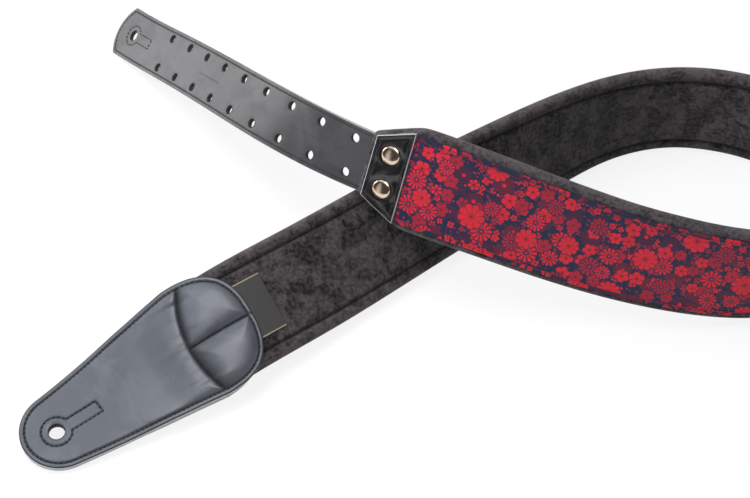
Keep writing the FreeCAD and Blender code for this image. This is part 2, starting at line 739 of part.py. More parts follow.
    def build_screw(self, index, side):
        """Slotted screw that goes into the post from the back."""
        tag = str(index)
        shank = self.primitive("Cylinder", "Shank" + tag, Radius="Sizes.thread_diameter / 2",
                               Height="Sizes.thread_length + Sizes.head_rim",
                               Placement__Base__z="-Sizes.thread_length")
        rim = self.primitive("Cylinder", "HeadRim" + tag, Radius="Sizes.head_diameter / 2",
                             Height="Sizes.head_rim")
        dome = self.primitive("Ellipsoid", "HeadDome" + tag, Radius1="Sizes.head_dome",
                              Radius2="Sizes.head_diameter / 2",
                              Radius3="Sizes.head_diameter / 2",
                              Placement__Base__z="Sizes.head_rim")
        dome.Angle1 = 0
        slot = self.primitive("Box", "Slot" + tag, Length="Sizes.head_diameter + 2",
                              Width="Sizes.slot_width", Height="Sizes.slot_depth + 1",
                              Placement__Base__x="-Sizes.head_diameter / 2 - 1",
                              Placement__Base__y="-Sizes.slot_width / 2",
                              Placement__Base__z="Sizes.head_rim + Sizes.head_dome"
                                                 " - Sizes.slot_depth")
        solid = self.joined("MultiFuse", "ScrewSolid" + tag, shank, rim, dome)
        screw = self.joined("Cut", "RearScrew" + tag, solid, slot)
        size = self.size
        level = self.rear_plate_back + 2 * size("seat_gap") + size("washer_wall")
        self.add_hardware(screw, "rear_screw_" + tag, side, level, 1)

    # -- the whole strap -------------------------------------------------------

    def build(self):
        self.build_body()
        self.build_tab()
        self.build_tongue()
        self.build_plates()
        for index, side in ((1, 1), (2, -1)):
            self.build_cap(index, side)
            self.build_washer(index, side)
            self.build_screw(index, side)
        self.document.recompute()

    def check(self):
        """Stop when an object failed or a piece is not one sound solid."""
        for item in self.document.Objects:
            if {"Invalid", "Error"} & set(item.State):
                raise RuntimeError("%s failed" % item.Name)
        for piece in self.pieces:
            shape = piece.Shape
            if shape.isNull() or not shape.isValid() or len(shape.Solids) != 1:
                raise RuntimeError("%s is not one sound solid" % piece.Label)

    def export(self):
        os.makedirs("parts", exist_ok=True)
        for piece in self.pieces:
            piece.Shape.exportStep("parts/%s.step" % piece.Label)
            print("%-24s %10.1f mm3" % (piece.Label, piece.Shape.Volume))

    def print_places(self):
        """Places that the record states, in mm."""
        for name, run in (("tab hole", self.tab_hole), ("tongue hole", self.tongue_hole),
                          ("screws", self.screw_run)):
            centre, _, width, face = self.route.frame(run)
            print(name, tuple(round(v, 3) for v in centre), "face",
                  tuple(round(v, 5) for v in face), "width", tuple(round(v, 5) for v in width))


def placement(origin, first, second, third):
    """Placement whose three axes point along the given directions."""
    return FreeCAD.Placement(FreeCAD.Matrix(
        first.x, second.x, third.x, origin.x,
        first.y, second.y, third.y, origin.y,
        first.z, second.z, third.z, origin.z,
        0, 0, 0, 1))


def main():
    strap = Strap()
    strap.build()
    strap.check()
    strap.export()
    strap.print_places()


main()
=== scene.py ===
"""A padded guitar strap: velour body, flowered face, quilted end tab, punched tongue and adjuster.

Every surface is worked out in strap coordinates and then laid along one centreline, the
route. A place on the strap is its run (distance along the route), its across (distance from
the middle line) and its out (height over the centreline, positive on the velour side), all
three in millimetres. The finished meshes are in metres.
"""
import logging
import math
from collections.abc import Callable, Sequence
from dataclasses import dataclass
from enum import Enum

import bmesh
import bpy
import numpy as np
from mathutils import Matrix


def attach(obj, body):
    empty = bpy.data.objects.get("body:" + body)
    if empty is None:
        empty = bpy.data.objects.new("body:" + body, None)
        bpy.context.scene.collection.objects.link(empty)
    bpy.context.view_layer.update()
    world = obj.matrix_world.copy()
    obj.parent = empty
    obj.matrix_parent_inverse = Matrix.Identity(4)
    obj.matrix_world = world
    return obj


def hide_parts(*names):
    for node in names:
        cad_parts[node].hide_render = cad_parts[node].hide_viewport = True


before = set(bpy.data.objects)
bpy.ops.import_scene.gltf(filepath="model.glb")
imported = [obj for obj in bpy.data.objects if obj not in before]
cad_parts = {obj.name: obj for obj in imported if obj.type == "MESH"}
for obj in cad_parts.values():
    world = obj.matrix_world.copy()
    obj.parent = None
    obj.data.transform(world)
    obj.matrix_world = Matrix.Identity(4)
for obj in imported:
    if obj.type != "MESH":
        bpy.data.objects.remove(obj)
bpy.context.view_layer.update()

MM = 0.001
log = logging.getLogger("strap")

Level = Callable[[np.ndarray, np.ndarray], np.ndarray]

# Centreline stations: x, y, height in mm, and the lean of the width direction in degrees.
STATIONS = (
    (-253, -205, 6, 14),
    (-205, -172, 13, 18),
    (-137, -122, 26, 31),
    (-81, -79, 28, 43),
    (-25, -36, 31, 54),
    (32, 5, 35, 68),
    (88, 46, 36, 81),
    (155, 74, 36, 91),
    (231, 54, 36, 90),
    (269, -15, 36, 90),
    (235, -76, 36, 89),
    (165, -86, 42, 97),
    (93, -73, 54, 105),
    (25, -56, 71, 111),
    (-42, -29, 80, 119),
    (-98, 15, 76, 132),
    (-141, 71, 58, 134),
    (-178, 128, 34, 137),
    (-217, 182, 14, 137),
    (-257, 235, 2, 138),
)
STATION_SHIFT = (-11.3, 7.1, 0.1, 0.0)


# ---------------------------------------------------------------- shape helpers


def blend(low: float, high: float, share: np.ndarray) -> np.ndarray:
    """Smooth change from low to high while share goes from 0 to 1."""
    share = np.clip(share, 0.0, 1.0)
    return low + (high - low) * share * share * (3 - 2 * share)


def soft_min(first: np.ndarray, second: np.ndarray, radius: float) -> np.ndarray:
    """The smaller of two values, rounded where they meet."""
    return (first + second - np.hypot(first - second, radius)) / 2


def bump_at(distance: np.ndarray, width: float) -> np.ndarray:
    """A bell of height 1 where distance is 0, falling off over width."""
    return np.exp(-(distance / width) ** 2)


def edge_drop(inset: np.ndarray, reach: float) -> np.ndarray:
    """Fall of a quarter round at an edge: 1 at inset 0, and 0 from reach inwards."""
    share = np.clip(1 - inset / reach, 0, 1)
    return 1 - np.sqrt(np.clip(1 - share ** 2, 0, 1))


def spread(count: int, crowding: float = 0.3) -> np.ndarray:
    """Numbers from -1 to 1, closer together near both ends: (1 + c) q - c q cubed."""
    q = np.linspace(-1.0, 1.0, count)
    return (1 + crowding) * q - crowding * q ** 3


def ripple(run: np.ndarray, across: np.ndarray) -> np.ndarray:
    """Slow unevenness between -1 and 1: three crossed sine waves of unlike lengths."""
    first = np.sin(run / 11.3 + across / 9.1)
    second = np.sin(run / 7.9 - across / 6.7 + 1.3)
    third = np.sin(run / 23.0 + across / 13.0 + 2.1)
    return (first + second + third) / 3


class Route:
    """The strap's centreline and its directions, as natural cubic splines through stations."""

    STEPS = 40

    def __init__(self) -> None:
        """Solve the splines and measure the length along them."""
        values = np.array(STATIONS, dtype=float) + np.array(STATION_SHIFT)
        values[:, 3] = np.radians(values[:, 3])
        inner = len(values) - 2
        system = 4 * np.eye(inner) + np.eye(inner, k=1) + np.eye(inner, k=-1)
        self.values = values
        self.bends = np.zeros_like(values)
        self.bends[1:-1] = np.linalg.solve(
            system, 6 * (values[:-2] - 2 * values[1:-1] + values[2:]))
        self.marks = np.linspace(0, len(values) - 1, (len(values) - 1) * self.STEPS + 1)
        places = self.at(self.marks)[0][:, :3]
        steps = np.linalg.norm(np.diff(places, axis=0), axis=1)
        self.lengths = np.concatenate([[0.0], np.cumsum(steps)])

    def at(self, station: np.ndarray) -> tuple[np.ndarray, np.ndarray]:
        """Spline values and slopes at fractional stations.

        Args:
            station: One-dimensional array of fractional stations.

        Returns:
            Two arrays of rows (x, y, z, lean) and their slopes per station.
        """
        i = np.minimum(station.astype(int), len(self.values) - 2)
        f = (station - i)[:, None]
        g = 1.0 - f
        low, high = self.values[i], self.values[i + 1]
        bend_low, bend_high = self.bends[i], self.bends[i + 1]
        value = g * low + f * high + ((g ** 3 - g) * bend_low + (f ** 3 - f) * bend_high) / 6
        slope = high - low + ((3 * f * f - 1) * bend_high - (3 * g * g - 1) * bend_low) / 6
        return value, slope

    def frames(self, run: np.ndarray) -> tuple[np.ndarray, ...]:
        """Centre, along, width and face directions at runs of any shape.

        Past both ends the centreline goes on straight. Level is up crossed with along,
        and the width direction is level turned up by the lean.
        """
        flat = np.ravel(run)
        inside = np.clip(flat, 0.0, self.lengths[-1])
        value, slope = self.at(np.interp(inside, self.lengths, self.marks))
        along = slope[:, :3] / np.linalg.norm(slope[:, :3], axis=1)[:, None]
        level = np.cross([0.0, 0.0, 1.0], along)
        level /= np.linalg.norm(level, axis=1)[:, None]
        upright = np.cross(along, level)
        lean = value[:, 3:]
        width = level * np.cos(lean) + upright * np.sin(lean)
        centre = value[:, :3] + along * (flat - inside)[:, None]
        shape = (*np.shape(run), 3)
        parts = (centre, along, width, np.cross(along, width))
        return tuple(part.reshape(shape) for part in parts)

    def frame(self, run: float) -> tuple[np.ndarray, ...]:
        """Centre, along, width and face directions at one run."""
        return tuple(part[0] for part in self.frames(np.array([run])))

    def points(self, run: np.ndarray, across: np.ndarray, out: np.ndarray) -> np.ndarray:
        """Places in metres: centre plus width times across plus face times out."""
        run, across, out = np.broadcast_arrays(run, across, out)
        centre, _, width, face = self.frames(run)
        return MM * (centre + width * across[..., None] + face * out[..., None])


ROUTE = Route()


@dataclass(frozen=True)
class Layout:
    """Runs and levels that several pieces share, in millimetres."""

    tab_start: float = 7.5
    tab_hole: float = 29.5
    core_end: float = 64.5
    body_start: float = 95.0
    tab_end: float = 168.0
    tongue_start: float = 943.9
    plate_start: float = 1000.5
    screws: float = 1012.3
    plate_end: float = 1024.5
    body_end: float = 1028.0
    tongue_hole: float = 1304.1
    tongue_end: float = 1325.1
    body_half: float = 35.0
    start_half: float = 31.0
    flare: float = 0.2
    pinch_length: float = 42.0
    plate_wide: float = 31.0
    plate_narrow: float = 20.0
    back_level: float = 4.5
    lip_level: float = 4.0
    screw_across: float = 11.4
    rim: float = 2.6

    def plate_half(self, run: np.ndarray) -> np.ndarray:
        """Half width of the adjuster plate, straight from its wide end to its narrow end."""
        share = (run - self.plate_start) / (self.plate_end - self.plate_start)
        return self.plate_wide - (self.plate_wide - self.plate_narrow) * share

    def half(self, run: np.ndarray) -> np.ndarray:
        """Half width of the padded body, which narrows along the plate and under the tab."""
        near_plate = soft_min(np.full_like(run, self.body_half),
                              self.plate_half(run) + self.rim, 2.0)
        from_start = self.start_half + self.flare * (run - self.body_start)
        return soft_min(near_plate, from_start, 2.0)

    def pinch(self, run: np.ndarray) -> np.ndarray:
        """Share of the body's thickness, which halves under the tab."""
        return blend(0.5, 1.0, (run - self.body_start) / self.pinch_length)

    def seat(self, run: np.ndarray, thick: float, level: float, cover: float) -> np.ndarray:
        """Distance from the centreline at which one of the tab's leathers lies.

        Args:
            run: Runs along the strap.
            thick: Distance where the body begins. At the stiff core it is 1.1.
            level: Level of the full body's surface on that side.
            cover: What lies between that surface and the leather.
        """
        thin = blend(1.1, thick, (run - self.core_end) / (self.body_start - self.core_end))
        return np.where(run < self.body_start, thin, level * self.pinch(run) + cover)

    def over_back(self, run: np.ndarray) -> np.ndarray:
        """Level on which the tab's upper leather lies, at its edges."""
        return self.seat(run, 2.85, self.back_level, 0.6)

    def under_front(self, run: np.ndarray) -> np.ndarray:
        """Level on which the tab's lower leather lies, as a distance."""
        return self.seat(run, 3.1, self.lip_level, 1.1)


LAYOUT = Layout()


# ---------------------------------------------------------------- mesh helpers


def grid_faces(rows: int, columns: int, start: int = 0) -> np.ndarray:
    """Four-sided faces of a grid of points numbered row by row from start."""
    corner = start + np.arange((rows - 1))[:, None] * columns + np.arange(columns - 1)[None, :]
    corner = corner.ravel()
    return np.stack([corner, corner + 1, corner + columns + 1, corner + columns], axis=1)


def signed_volume(points: np.ndarray, faces: np.ndarray) -> float:
    """Volume inside closed faces, by the divergence theorem on two triangles a face."""
    a, b, c, d = (points[faces[:, i]] for i in range(4))
    first = np.einsum("ij,ij->i", a, np.cross(b, c))
    second = np.einsum("ij,ij->i", a, np.cross(c, d))
    return float((first + second).sum() / 6)


def add_object(name: str, data: bpy.types.ID) -> bpy.types.Object:
    """Put a mesh, a lamp or a camera in the scene."""
    holder = bpy.data.objects.new(name, data)
    bpy.context.collection.objects.link(holder)
    return holder


def make_piece(name: str, points: np.ndarray, faces: np.ndarray, cloth: np.ndarray | None = None,
               marks: dict[str, np.ndarray] | None = None, sharp: float = 40.0,
               more_faces: Sequence[Sequence[int]] = ()) -> bpy.types.Object:
    """Make one mesh object with outward faces, a cloth map and point attributes.

    Args:
        name: Name of the piece.
        points: Places in metres, one row each.
        faces: Four-sided faces, as rows of point numbers.
        cloth: Run and across of each point in metres, for the map that weaves follow.
        marks: Values at the points that a finish reads by name.
        sharp: Angle in degrees above which an edge stays crisp.
        more_faces: Faces with other numbers of sides.

    Returns:
        The new object, at the origin.
    """
    if signed_volume(points, faces) < 0:
        faces = faces[:, ::-1]
        more_faces = [list(reversed(face)) for face in more_faces]
    mesh = bpy.data.meshes.new(name)
    mesh.from_pydata(points.tolist(), [], faces.tolist() + [list(face) for face in more_faces])
    if cloth is not None:
        corners = np.empty(len(mesh.loops), dtype=np.int32)
        mesh.loops.foreach_get("vertex_index", corners)
        layer = mesh.uv_layers.new(name="cloth")
        layer.data.foreach_set("uv", cloth[corners].astype(np.float32).ravel())
    for mark, values in (marks or {}).items():
        attribute = mesh.attributes.new(mark, "FLOAT", "POINT")
        attribute.data.foreach_set("value", values.astype(np.float32).ravel())
    piece = add_object(name, mesh)
    tool = bmesh.new()
    tool.from_mesh(mesh)
    bmesh.ops.remove_doubles(tool, verts=tool.verts, dist=1e-6)
    bmesh.ops.dissolve_degenerate(tool, edges=tool.edges, dist=1e-7)
    tool.to_mesh(mesh)
    tool.free()
    mesh.shade_smooth()
    mesh.set_sharp_from_angle(angle=math.radians(sharp))
    return piece


def slab(name: str, run: np.ndarray, across: np.ndarray, front: np.ndarray, back: np.ndarray,
         marks: dict[str, np.ndarray] | None = None, sharp: float = 40.0) -> bpy.types.Object:
    """Closed piece between two levels over one grid of places, with walls round its rim.

    Args:
        name: Name of the piece.
        run: Grid of runs.
        across: Grid of distances across the strap.
        front: Level of one side at each place.
        back: Level of the other side.
        marks: Values at the grid's places that a finish reads by name.
        sharp: Angle in degrees above which an edge stays crisp.

    Returns:
        The new object.
    """
    rows, columns = run.shape
    count = rows * columns
    points = np.concatenate([ROUTE.points(run, across, front).reshape(-1, 3),
                             ROUTE.points(run, across, back).reshape(-1, 3)])
    number = np.arange(count).reshape(rows, columns)
    rim = np.concatenate([number[0, :-1], number[:-1, -1], number[-1, :0:-1], number[:0:-1, 0]])
    after = np.roll(rim, -1)
    walls = np.stack([after, rim, rim + count, after + count], axis=1)
    faces = np.concatenate([grid_faces(rows, columns),
                            grid_faces(rows, columns, count)[:, ::-1], walls])
    cloth = np.stack([run.ravel(), across.ravel()], axis=1) * MM
    both = {mark: np.tile(values.ravel(), 2) for mark, values in (marks or {}).items()}
    return make_piece(name, points, faces, np.tile(cloth, (2, 1)), both, sharp)


def lathe(name: str, profile: Sequence[tuple[float, float]], centre: np.ndarray,
          axis: np.ndarray, sides: int = 64) -> bpy.types.Object:
    """Turned piece: a profile of (radius, height) spun round an axis, closed at both poles.

    A place is centre + axis times height + radius times (cos, sin) of the turn.
    """
    side = np.cross(axis, [0.0, 0.0, 1.0])
    side /= np.linalg.norm(side)
    other = np.cross(axis, side)
    turn = np.linspace(0, 2 * np.pi, sides + 1)
    radius, height = np.array(profile, dtype=float).T * MM
    ring = np.cos(turn)[None, :, None] * side + np.sin(turn)[None, :, None] * other
    points = centre + height[:, None, None] * axis + radius[:, None, None] * ring
    return make_piece(name, points.reshape(-1, 3), grid_faces(len(profile), sides + 1))


def cut(piece: bpy.types.Object, cutter: bpy.types.Object) -> None:
    """Take the cutter's shape out of the piece and remove the cutter."""
    modifier = piece.modifiers.new("cut", "BOOLEAN")
    modifier.object = cutter
    modifier.operation = "DIFFERENCE"
    modifier.solver = "MANIFOLD"
    graph = bpy.context.evaluated_depsgraph_get()
    result = bpy.data.meshes.new_from_object(piece.evaluated_get(graph))
    piece.modifiers.clear()
    old = piece.data
    piece.data = result
    result.name = old.name
    bpy.data.meshes.remove(old)
    cutting = cutter.data
    bpy.data.objects.remove(cutter)
    bpy.data.meshes.remove(cutting)
    result.shade_smooth()
    result.set_sharp_from_angle(angle=math.radians(40.0))


def hole_cutter(places: Sequence[tuple[float, float, float]],
                slit: tuple[float, float] | None = None) -> bpy.types.Object:
    """One mesh of upright prisms, for holes and a slit.

    Args:
        places: Run, across and radius of each round hole.
        slit: Runs of the two ends of a slit on the middle line, if there is one.

    Returns:
        The cutter object.
    """
    reach, sides = 12.0, 40
    points: list[np.ndarray] = []
    faces: list[list[int]] = []
    turn = np.linspace(0, 2 * np.pi, sides, endpoint=False)
    outlines = []
    for run, across, radius in places:
        outlines.append((run, radius * np.cos(turn), across + radius * np.sin(turn)))
    if slit:
        low, high = slit
        half = 0.03
        outlines.append(((low + high) / 2, np.array([-1, 1, 1, -1]) * (high - low) / 2,
                         np.array([-half, -half, half, half])))
    for run, forward, sideways in outlines:
        centre, along, width, face = ROUTE.frame(run)
        flat = centre + forward[:, None] * along + sideways[:, None] * width
        start, count = sum(map(len, points)), len(flat)
        points.append(np.concatenate([flat - face * reach, flat + face * reach]) * MM)
        faces += [[start + i, start + (i + 1) % count, start + count + (i + 1) % count,
                   start + count + i] for i in range(count)]
        faces.append([start + i for i in reversed(range(count))])
        faces.append([start + count + i for i in range(count)])
    mesh = bpy.data.meshes.new("cutter")
    mesh.from_pydata(np.concatenate(points).tolist(), [], faces)
    tool = bmesh.new()
    tool.from_mesh(mesh)
    bmesh.ops.recalc_face_normals(tool, faces=tool.faces)
    tool.to_mesh(mesh)
    tool.free()
    return add_object("cutter", mesh)


def eyelets(name: str, places: Sequence[tuple[float, float, float]], front: float,
            back: float) -> bpy.types.Object:
    """Dark walls of round holes, as painted shade in them: thin closed rings that stand a little
    proud.

    Each ring is a profile of (radius, out) carried round the hole.

    Args:
        name: Name of the piece.
        places: Run, across and radius of each hole.
        front: Level of the front end of the walls.
        back: Level of their back end.
    """
    sides = 32
    low, high = min(front, back), max(front, back)
    ring = np.array([(0.0, low - 0.06), (0.32, low - 0.02), (0.36, low + 0.2),
                     (0.36, high - 0.2), (0.32, high + 0.02), (0.0, high + 0.06),
                     (-0.06, high - 0.15), (-0.06, low + 0.15)])
    turn = np.linspace(0, 2 * np.pi, sides, endpoint=False)
    number = np.arange(sides)
    points, faces = [], []
    for run, across, radius in places:
        centre, along, width, face = ROUTE.frame(run)
        reach = (radius + ring[:, 0])[None, :, None]
        round_hole = np.cos(turn)[:, None, None] * along + np.sin(turn)[:, None, None] * width
        place = centre + across * width + reach * round_hole + ring[None, :, 1, None] * face
        start = sum(map(len, points))
        points.append(place.reshape(-1, 3) * MM)
        for j in range(len(ring)):
            k = (j + 1) % len(ring)
            step = number * len(ring) + start
            further = np.roll(number, -1) * len(ring) + start
            faces.append(np.stack([step + j, further + j, further + k, step + k], axis=1))
    joined = np.concatenate(points)
    # edge 9 keeps the walls in the core leather's dark face colour: painted shade in the holes
    return make_piece(name, joined, np.concatenate(faces),
                      marks={"edge": np.full(len(joined), 9.0)})


# ---------------------------------------------------------------- sewing


@dataclass(frozen=True)
class Thread:
    """A seam's stitches: pitch and length along the seam, and the thread's radius."""

    pitch: float = 3.1
    length: float = 2.35
    radius: float = 0.36
    sink: float = 0.1

    def walk(self, path: np.ndarray) -> np.ndarray:
        """Even places along a path of (run, across) rows, one pitch apart."""
        steps = np.linalg.norm(np.diff(path, axis=0), axis=1)
        far = np.concatenate([[0.0], np.cumsum(steps)])
        count = max(2, int(round(far[-1] / self.pitch)))
        at = (np.arange(count) + 0.5) * far[-1] / count
        return np.stack([np.interp(at, far, path[:, 0]), np.interp(at, far, path[:, 1])], axis=1)

    def sew(self, name: str, paths: Sequence[np.ndarray], level: Level,
            side: float) -> bpy.types.Object:
        """Stitches along paths on a surface: short capsules, their ends dipping in.

        A stitch is five six-sided rings along the seam. Each ring's place is the stitch's
        middle + along times x + sideways times y + the surface's normal times z.

        Args:
            name: Name of the piece.
            paths: Seam lines, as rows of (run, across).
            level: Level of the surface at a run and an across.
            side: 1 for a surface on the velour side, -1 for the flowered side.
        """
        rings = np.array([(-0.5, 0.3, -0.3), (-0.36, 0.85, -0.06), (0.0, 1.0, 0.08),
                          (0.36, 0.85, -0.06), (0.5, 0.3, -0.3)])
        turn = np.linspace(0, 2 * np.pi, 6, endpoint=False)
        x = np.repeat(rings[:, 0] * self.length, 6)
        y = (rings[:, 1:2] * np.cos(turn)).ravel() * self.radius
        z = (rings[:, 1:2] * np.sin(turn)).ravel() * self.radius
        z = z + np.repeat(rings[:, 2], 6) * self.radius * 1.4 - self.sink
        places, ways = [], []
        for path in paths:
            spots = self.walk(path)
            places.append(spots)
            ways.append(np.gradient(spots, axis=0))
        spot, way = np.concatenate(places), np.concatenate(ways)
        way /= np.linalg.norm(way, axis=1)[:, None]

        def on_surface(shift: float) -> np.ndarray:
            """Places on the surface, each moved along its seam by a shift."""
            moved = spot + way * shift
            return ROUTE.points(moved[:, 0], moved[:, 1], level(moved[:, 0], moved[:, 1])) / MM

        middle = on_surface(0.0)
        along = on_surface(0.5) - on_surface(-0.5)
        along /= np.linalg.norm(along, axis=1)[:, None]
        normal = ROUTE.frames(spot[:, 0])[3] * side
        sideways = np.cross(normal, along)
        points = (middle[:, None] + along[:, None] * x[:, None] + sideways[:, None] * y[:, None]
                  + normal[:, None] * z[:, None])
        number = np.arange(6)
        strip = [np.stack([r * 6 + number, r * 6 + (number + 1) % 6,
                           (r + 1) * 6 + (number + 1) % 6, (r + 1) * 6 + number], axis=1)
                 for r in range(4)]
        starts = np.arange(len(spot)) * 30
        faces = (np.concatenate(strip)[None] + starts[:, None, None]).reshape(-1, 4)
        ends = [list(range(start + 5, start - 1, -1)) for start in starts.tolist()]
        ends += [list(range(start + 24, start + 30)) for start in starts.tolist()]
        return make_piece(name, points.reshape(-1, 3) * MM, faces, sharp=80.0, more_faces=ends)


def keyhole_path(hole: float, radius: float, slot_half: float, slot_end: float,
                 points: int = 80) -> np.ndarray:
    """A ring round a button hole, open on one side, and the slot that closes it.

    Args:
        hole: Run of the hole.
        radius: Radius of the ring.
        slot_half: Half width of the slot.
        slot_end: Run of the slot's far end, on either side of the hole.
        points: How many points the ring has.

    Returns:
        Rows of (run, across).
    """
    opening = math.asin(slot_half / radius)
    first = 0.0 if slot_end > hole else math.pi
    turn = first + np.linspace(opening, 2 * math.pi - opening, points)
    ring = np.stack([hole + radius * np.cos(turn), radius * np.sin(turn)], axis=1)
    slot = np.array([[slot_end, ring[-1, 1]], [slot_end, ring[0, 1]], ring[0]])
    return np.concatenate([ring, slot])


# ---------------------------------------------------------------- finishes


class Tree:
    """Short ways to add and join shader nodes."""

    def __init__(self, tree: bpy.types.NodeTree) -> None:
        """Keep the tree that the nodes go in."""
        self.tree = tree

    def fill(self, node: bpy.types.Node, inputs: dict[str | int, object]) -> None:
        """Set or link inputs of a node by name or number."""
        for key, value in inputs.items():
            if isinstance(value, Wire):
                self.tree.links.new(value.socket, node.inputs[key])
            else:
                node.inputs[key].default_value = value

    def add(self, kind: str, inputs: dict[str | int, object] | None = None,
            **settings: object) -> "Placed":
        """Add a node, set its properties, and set or link its inputs."""
        node = self.tree.nodes.new(kind)
        for key, value in settings.items():
            setattr(node, key, value)
        self.fill(node, inputs or {})
        return Placed(self, node)

    def effect(self, tree: bpy.types.NodeTree, **inputs: object) -> "Placed":
        """Place a shared effect, its inputs named with _ for a space."""
        named = {name.replace("_", " "): value for name, value in inputs.items()}
        return self.add("ShaderNodeGroup", named, node_tree=tree)

    def math(self, operation: str, *values: object, clamp: bool = False) -> "Wire":
        """Result of one Math node."""
        return self.add("ShaderNodeMath", dict(enumerate(values)), operation=operation,
                        use_clamp=clamp)[0]

    def vector(self, operation: str, *values: object) -> "Wire":
        """Result of one Vector Math node."""
        return self.add("ShaderNodeVectorMath", dict(enumerate(values)), operation=operation)[0]

    def scaled(self, vector: object, factor: object) -> "Wire":
        """A vector or a colour times a factor."""
        return self.add("ShaderNodeVectorMath", {0: vector, "Scale": factor},
                        operation="SCALE")[0]

    def mix(self, factor: object, first: object, second: object) -> "Wire":
        """Colour mixed from first to second by factor."""
        return self.add("ShaderNodeMix", {0: factor, 6: first, 7: second}, data_type="RGBA")[2]

    def step(self, value: object, low: float, high: float) -> "Wire":
        """Smooth change from 0 at low to 1 at high."""
        return self.add("ShaderNodeMapRange", {0: value, 1: low, 2: high, 3: 0.0, 4: 1.0},
                        interpolation_type="SMOOTHSTEP")[0]

    def parts(self, vector: object) -> "Placed":
        """The three parts of a vector."""
        return self.add("ShaderNodeSeparateXYZ", {0: vector})

    def noise(self, place: object, scale: object, detail: float = 3.0,
              rough: float = 0.55, distortion: float = 0.0) -> "Wire":
        """Value of one Noise Texture."""
        return self.add("ShaderNodeTexNoise", {"Vector": place, "Scale": scale, "Detail": detail,
                                               "Roughness": rough,
                                               "Distortion": distortion})["Fac"]

    def mark(self, name: str) -> "Wire":
        """Value of a point attribute."""
        return self.add("ShaderNodeAttribute", attribute_name=name)["Fac"]

    def bump(self, height: object, strength: float, distance: float) -> "Wire":
        """Normal bent by a height, of which 1 stands distance metres high."""
        return self.add("ShaderNodeBump", {"Height": height, "Strength": strength,
                                           "Distance": distance})["Normal"]

    def give(self, **outputs: "Wire") -> bpy.types.NodeTree:
        """End a group: make its outputs, each a single value, and link them."""
        for name in outputs:
            self.tree.interface.new_socket(name, in_out="OUTPUT", socket_type=FLOAT)
        self.add("NodeGroupOutput", outputs)
        return self.tree


@dataclass(frozen=True)
class Placed:
    """A node in its tree; indexing it gives its outputs."""

    work: Tree
    node: bpy.types.Node

    def __getitem__(self, key: str | int) -> "Wire":
        """One output, by name or number."""
        return Wire(self.work, self.node.outputs[key])


@dataclass(frozen=True)
class Wire:
    """One shader value. Arithmetic on it adds Math nodes to its tree."""

    work: Tree
    socket: bpy.types.NodeSocket

    def __add__(self, other: object) -> "Wire":
        """Sum."""
        return self.work.math("ADD", self, other)

    def __sub__(self, other: object) -> "Wire":
        """Difference."""
        return self.work.math("SUBTRACT", self, other)

    def __rsub__(self, other: object) -> "Wire":
        """Difference from a number."""
        return self.work.math("SUBTRACT", other, self)

    def __mul__(self, other: object) -> "Wire":
        """Product."""
        return self.work.math("MULTIPLY", self, other)

    def __truediv__(self, other: object) -> "Wire":
        """Quotient."""
        return self.work.math("DIVIDE", self, other)

    def __abs__(self) -> "Wire":
        """Size without the sign."""
        return self.work.math("ABSOLUTE", self)


FLOAT, VECTOR = "NodeSocketFloat", "NodeSocketVector"
Colour = tuple[float, float, float]


def rgba(colour: Colour, share: float = 1.0) -> tuple[float, ...]:
    """An opaque colour, darkened or lightened to a share."""
    return (*(value * share for value in colour), 1.0)


def group(name: str, **inputs: float | tuple[float, float, float]) -> tuple[Tree, Placed]:
    """Start a node group that reads Place and more named inputs, with _ for a space."""
    tree = bpy.data.node_groups.new(name, "ShaderNodeTree")
    tree.interface.new_socket("Place", in_out="INPUT", socket_type=VECTOR)
    for socket, value in inputs.items():
        kind = VECTOR if isinstance(value, tuple) else FLOAT
        made = tree.interface.new_socket(socket.replace("_", " "), in_out="INPUT",
                                         socket_type=kind)
        made.default_value = value
    work = Tree(tree)
    return work, work.add("NodeGroupInput")


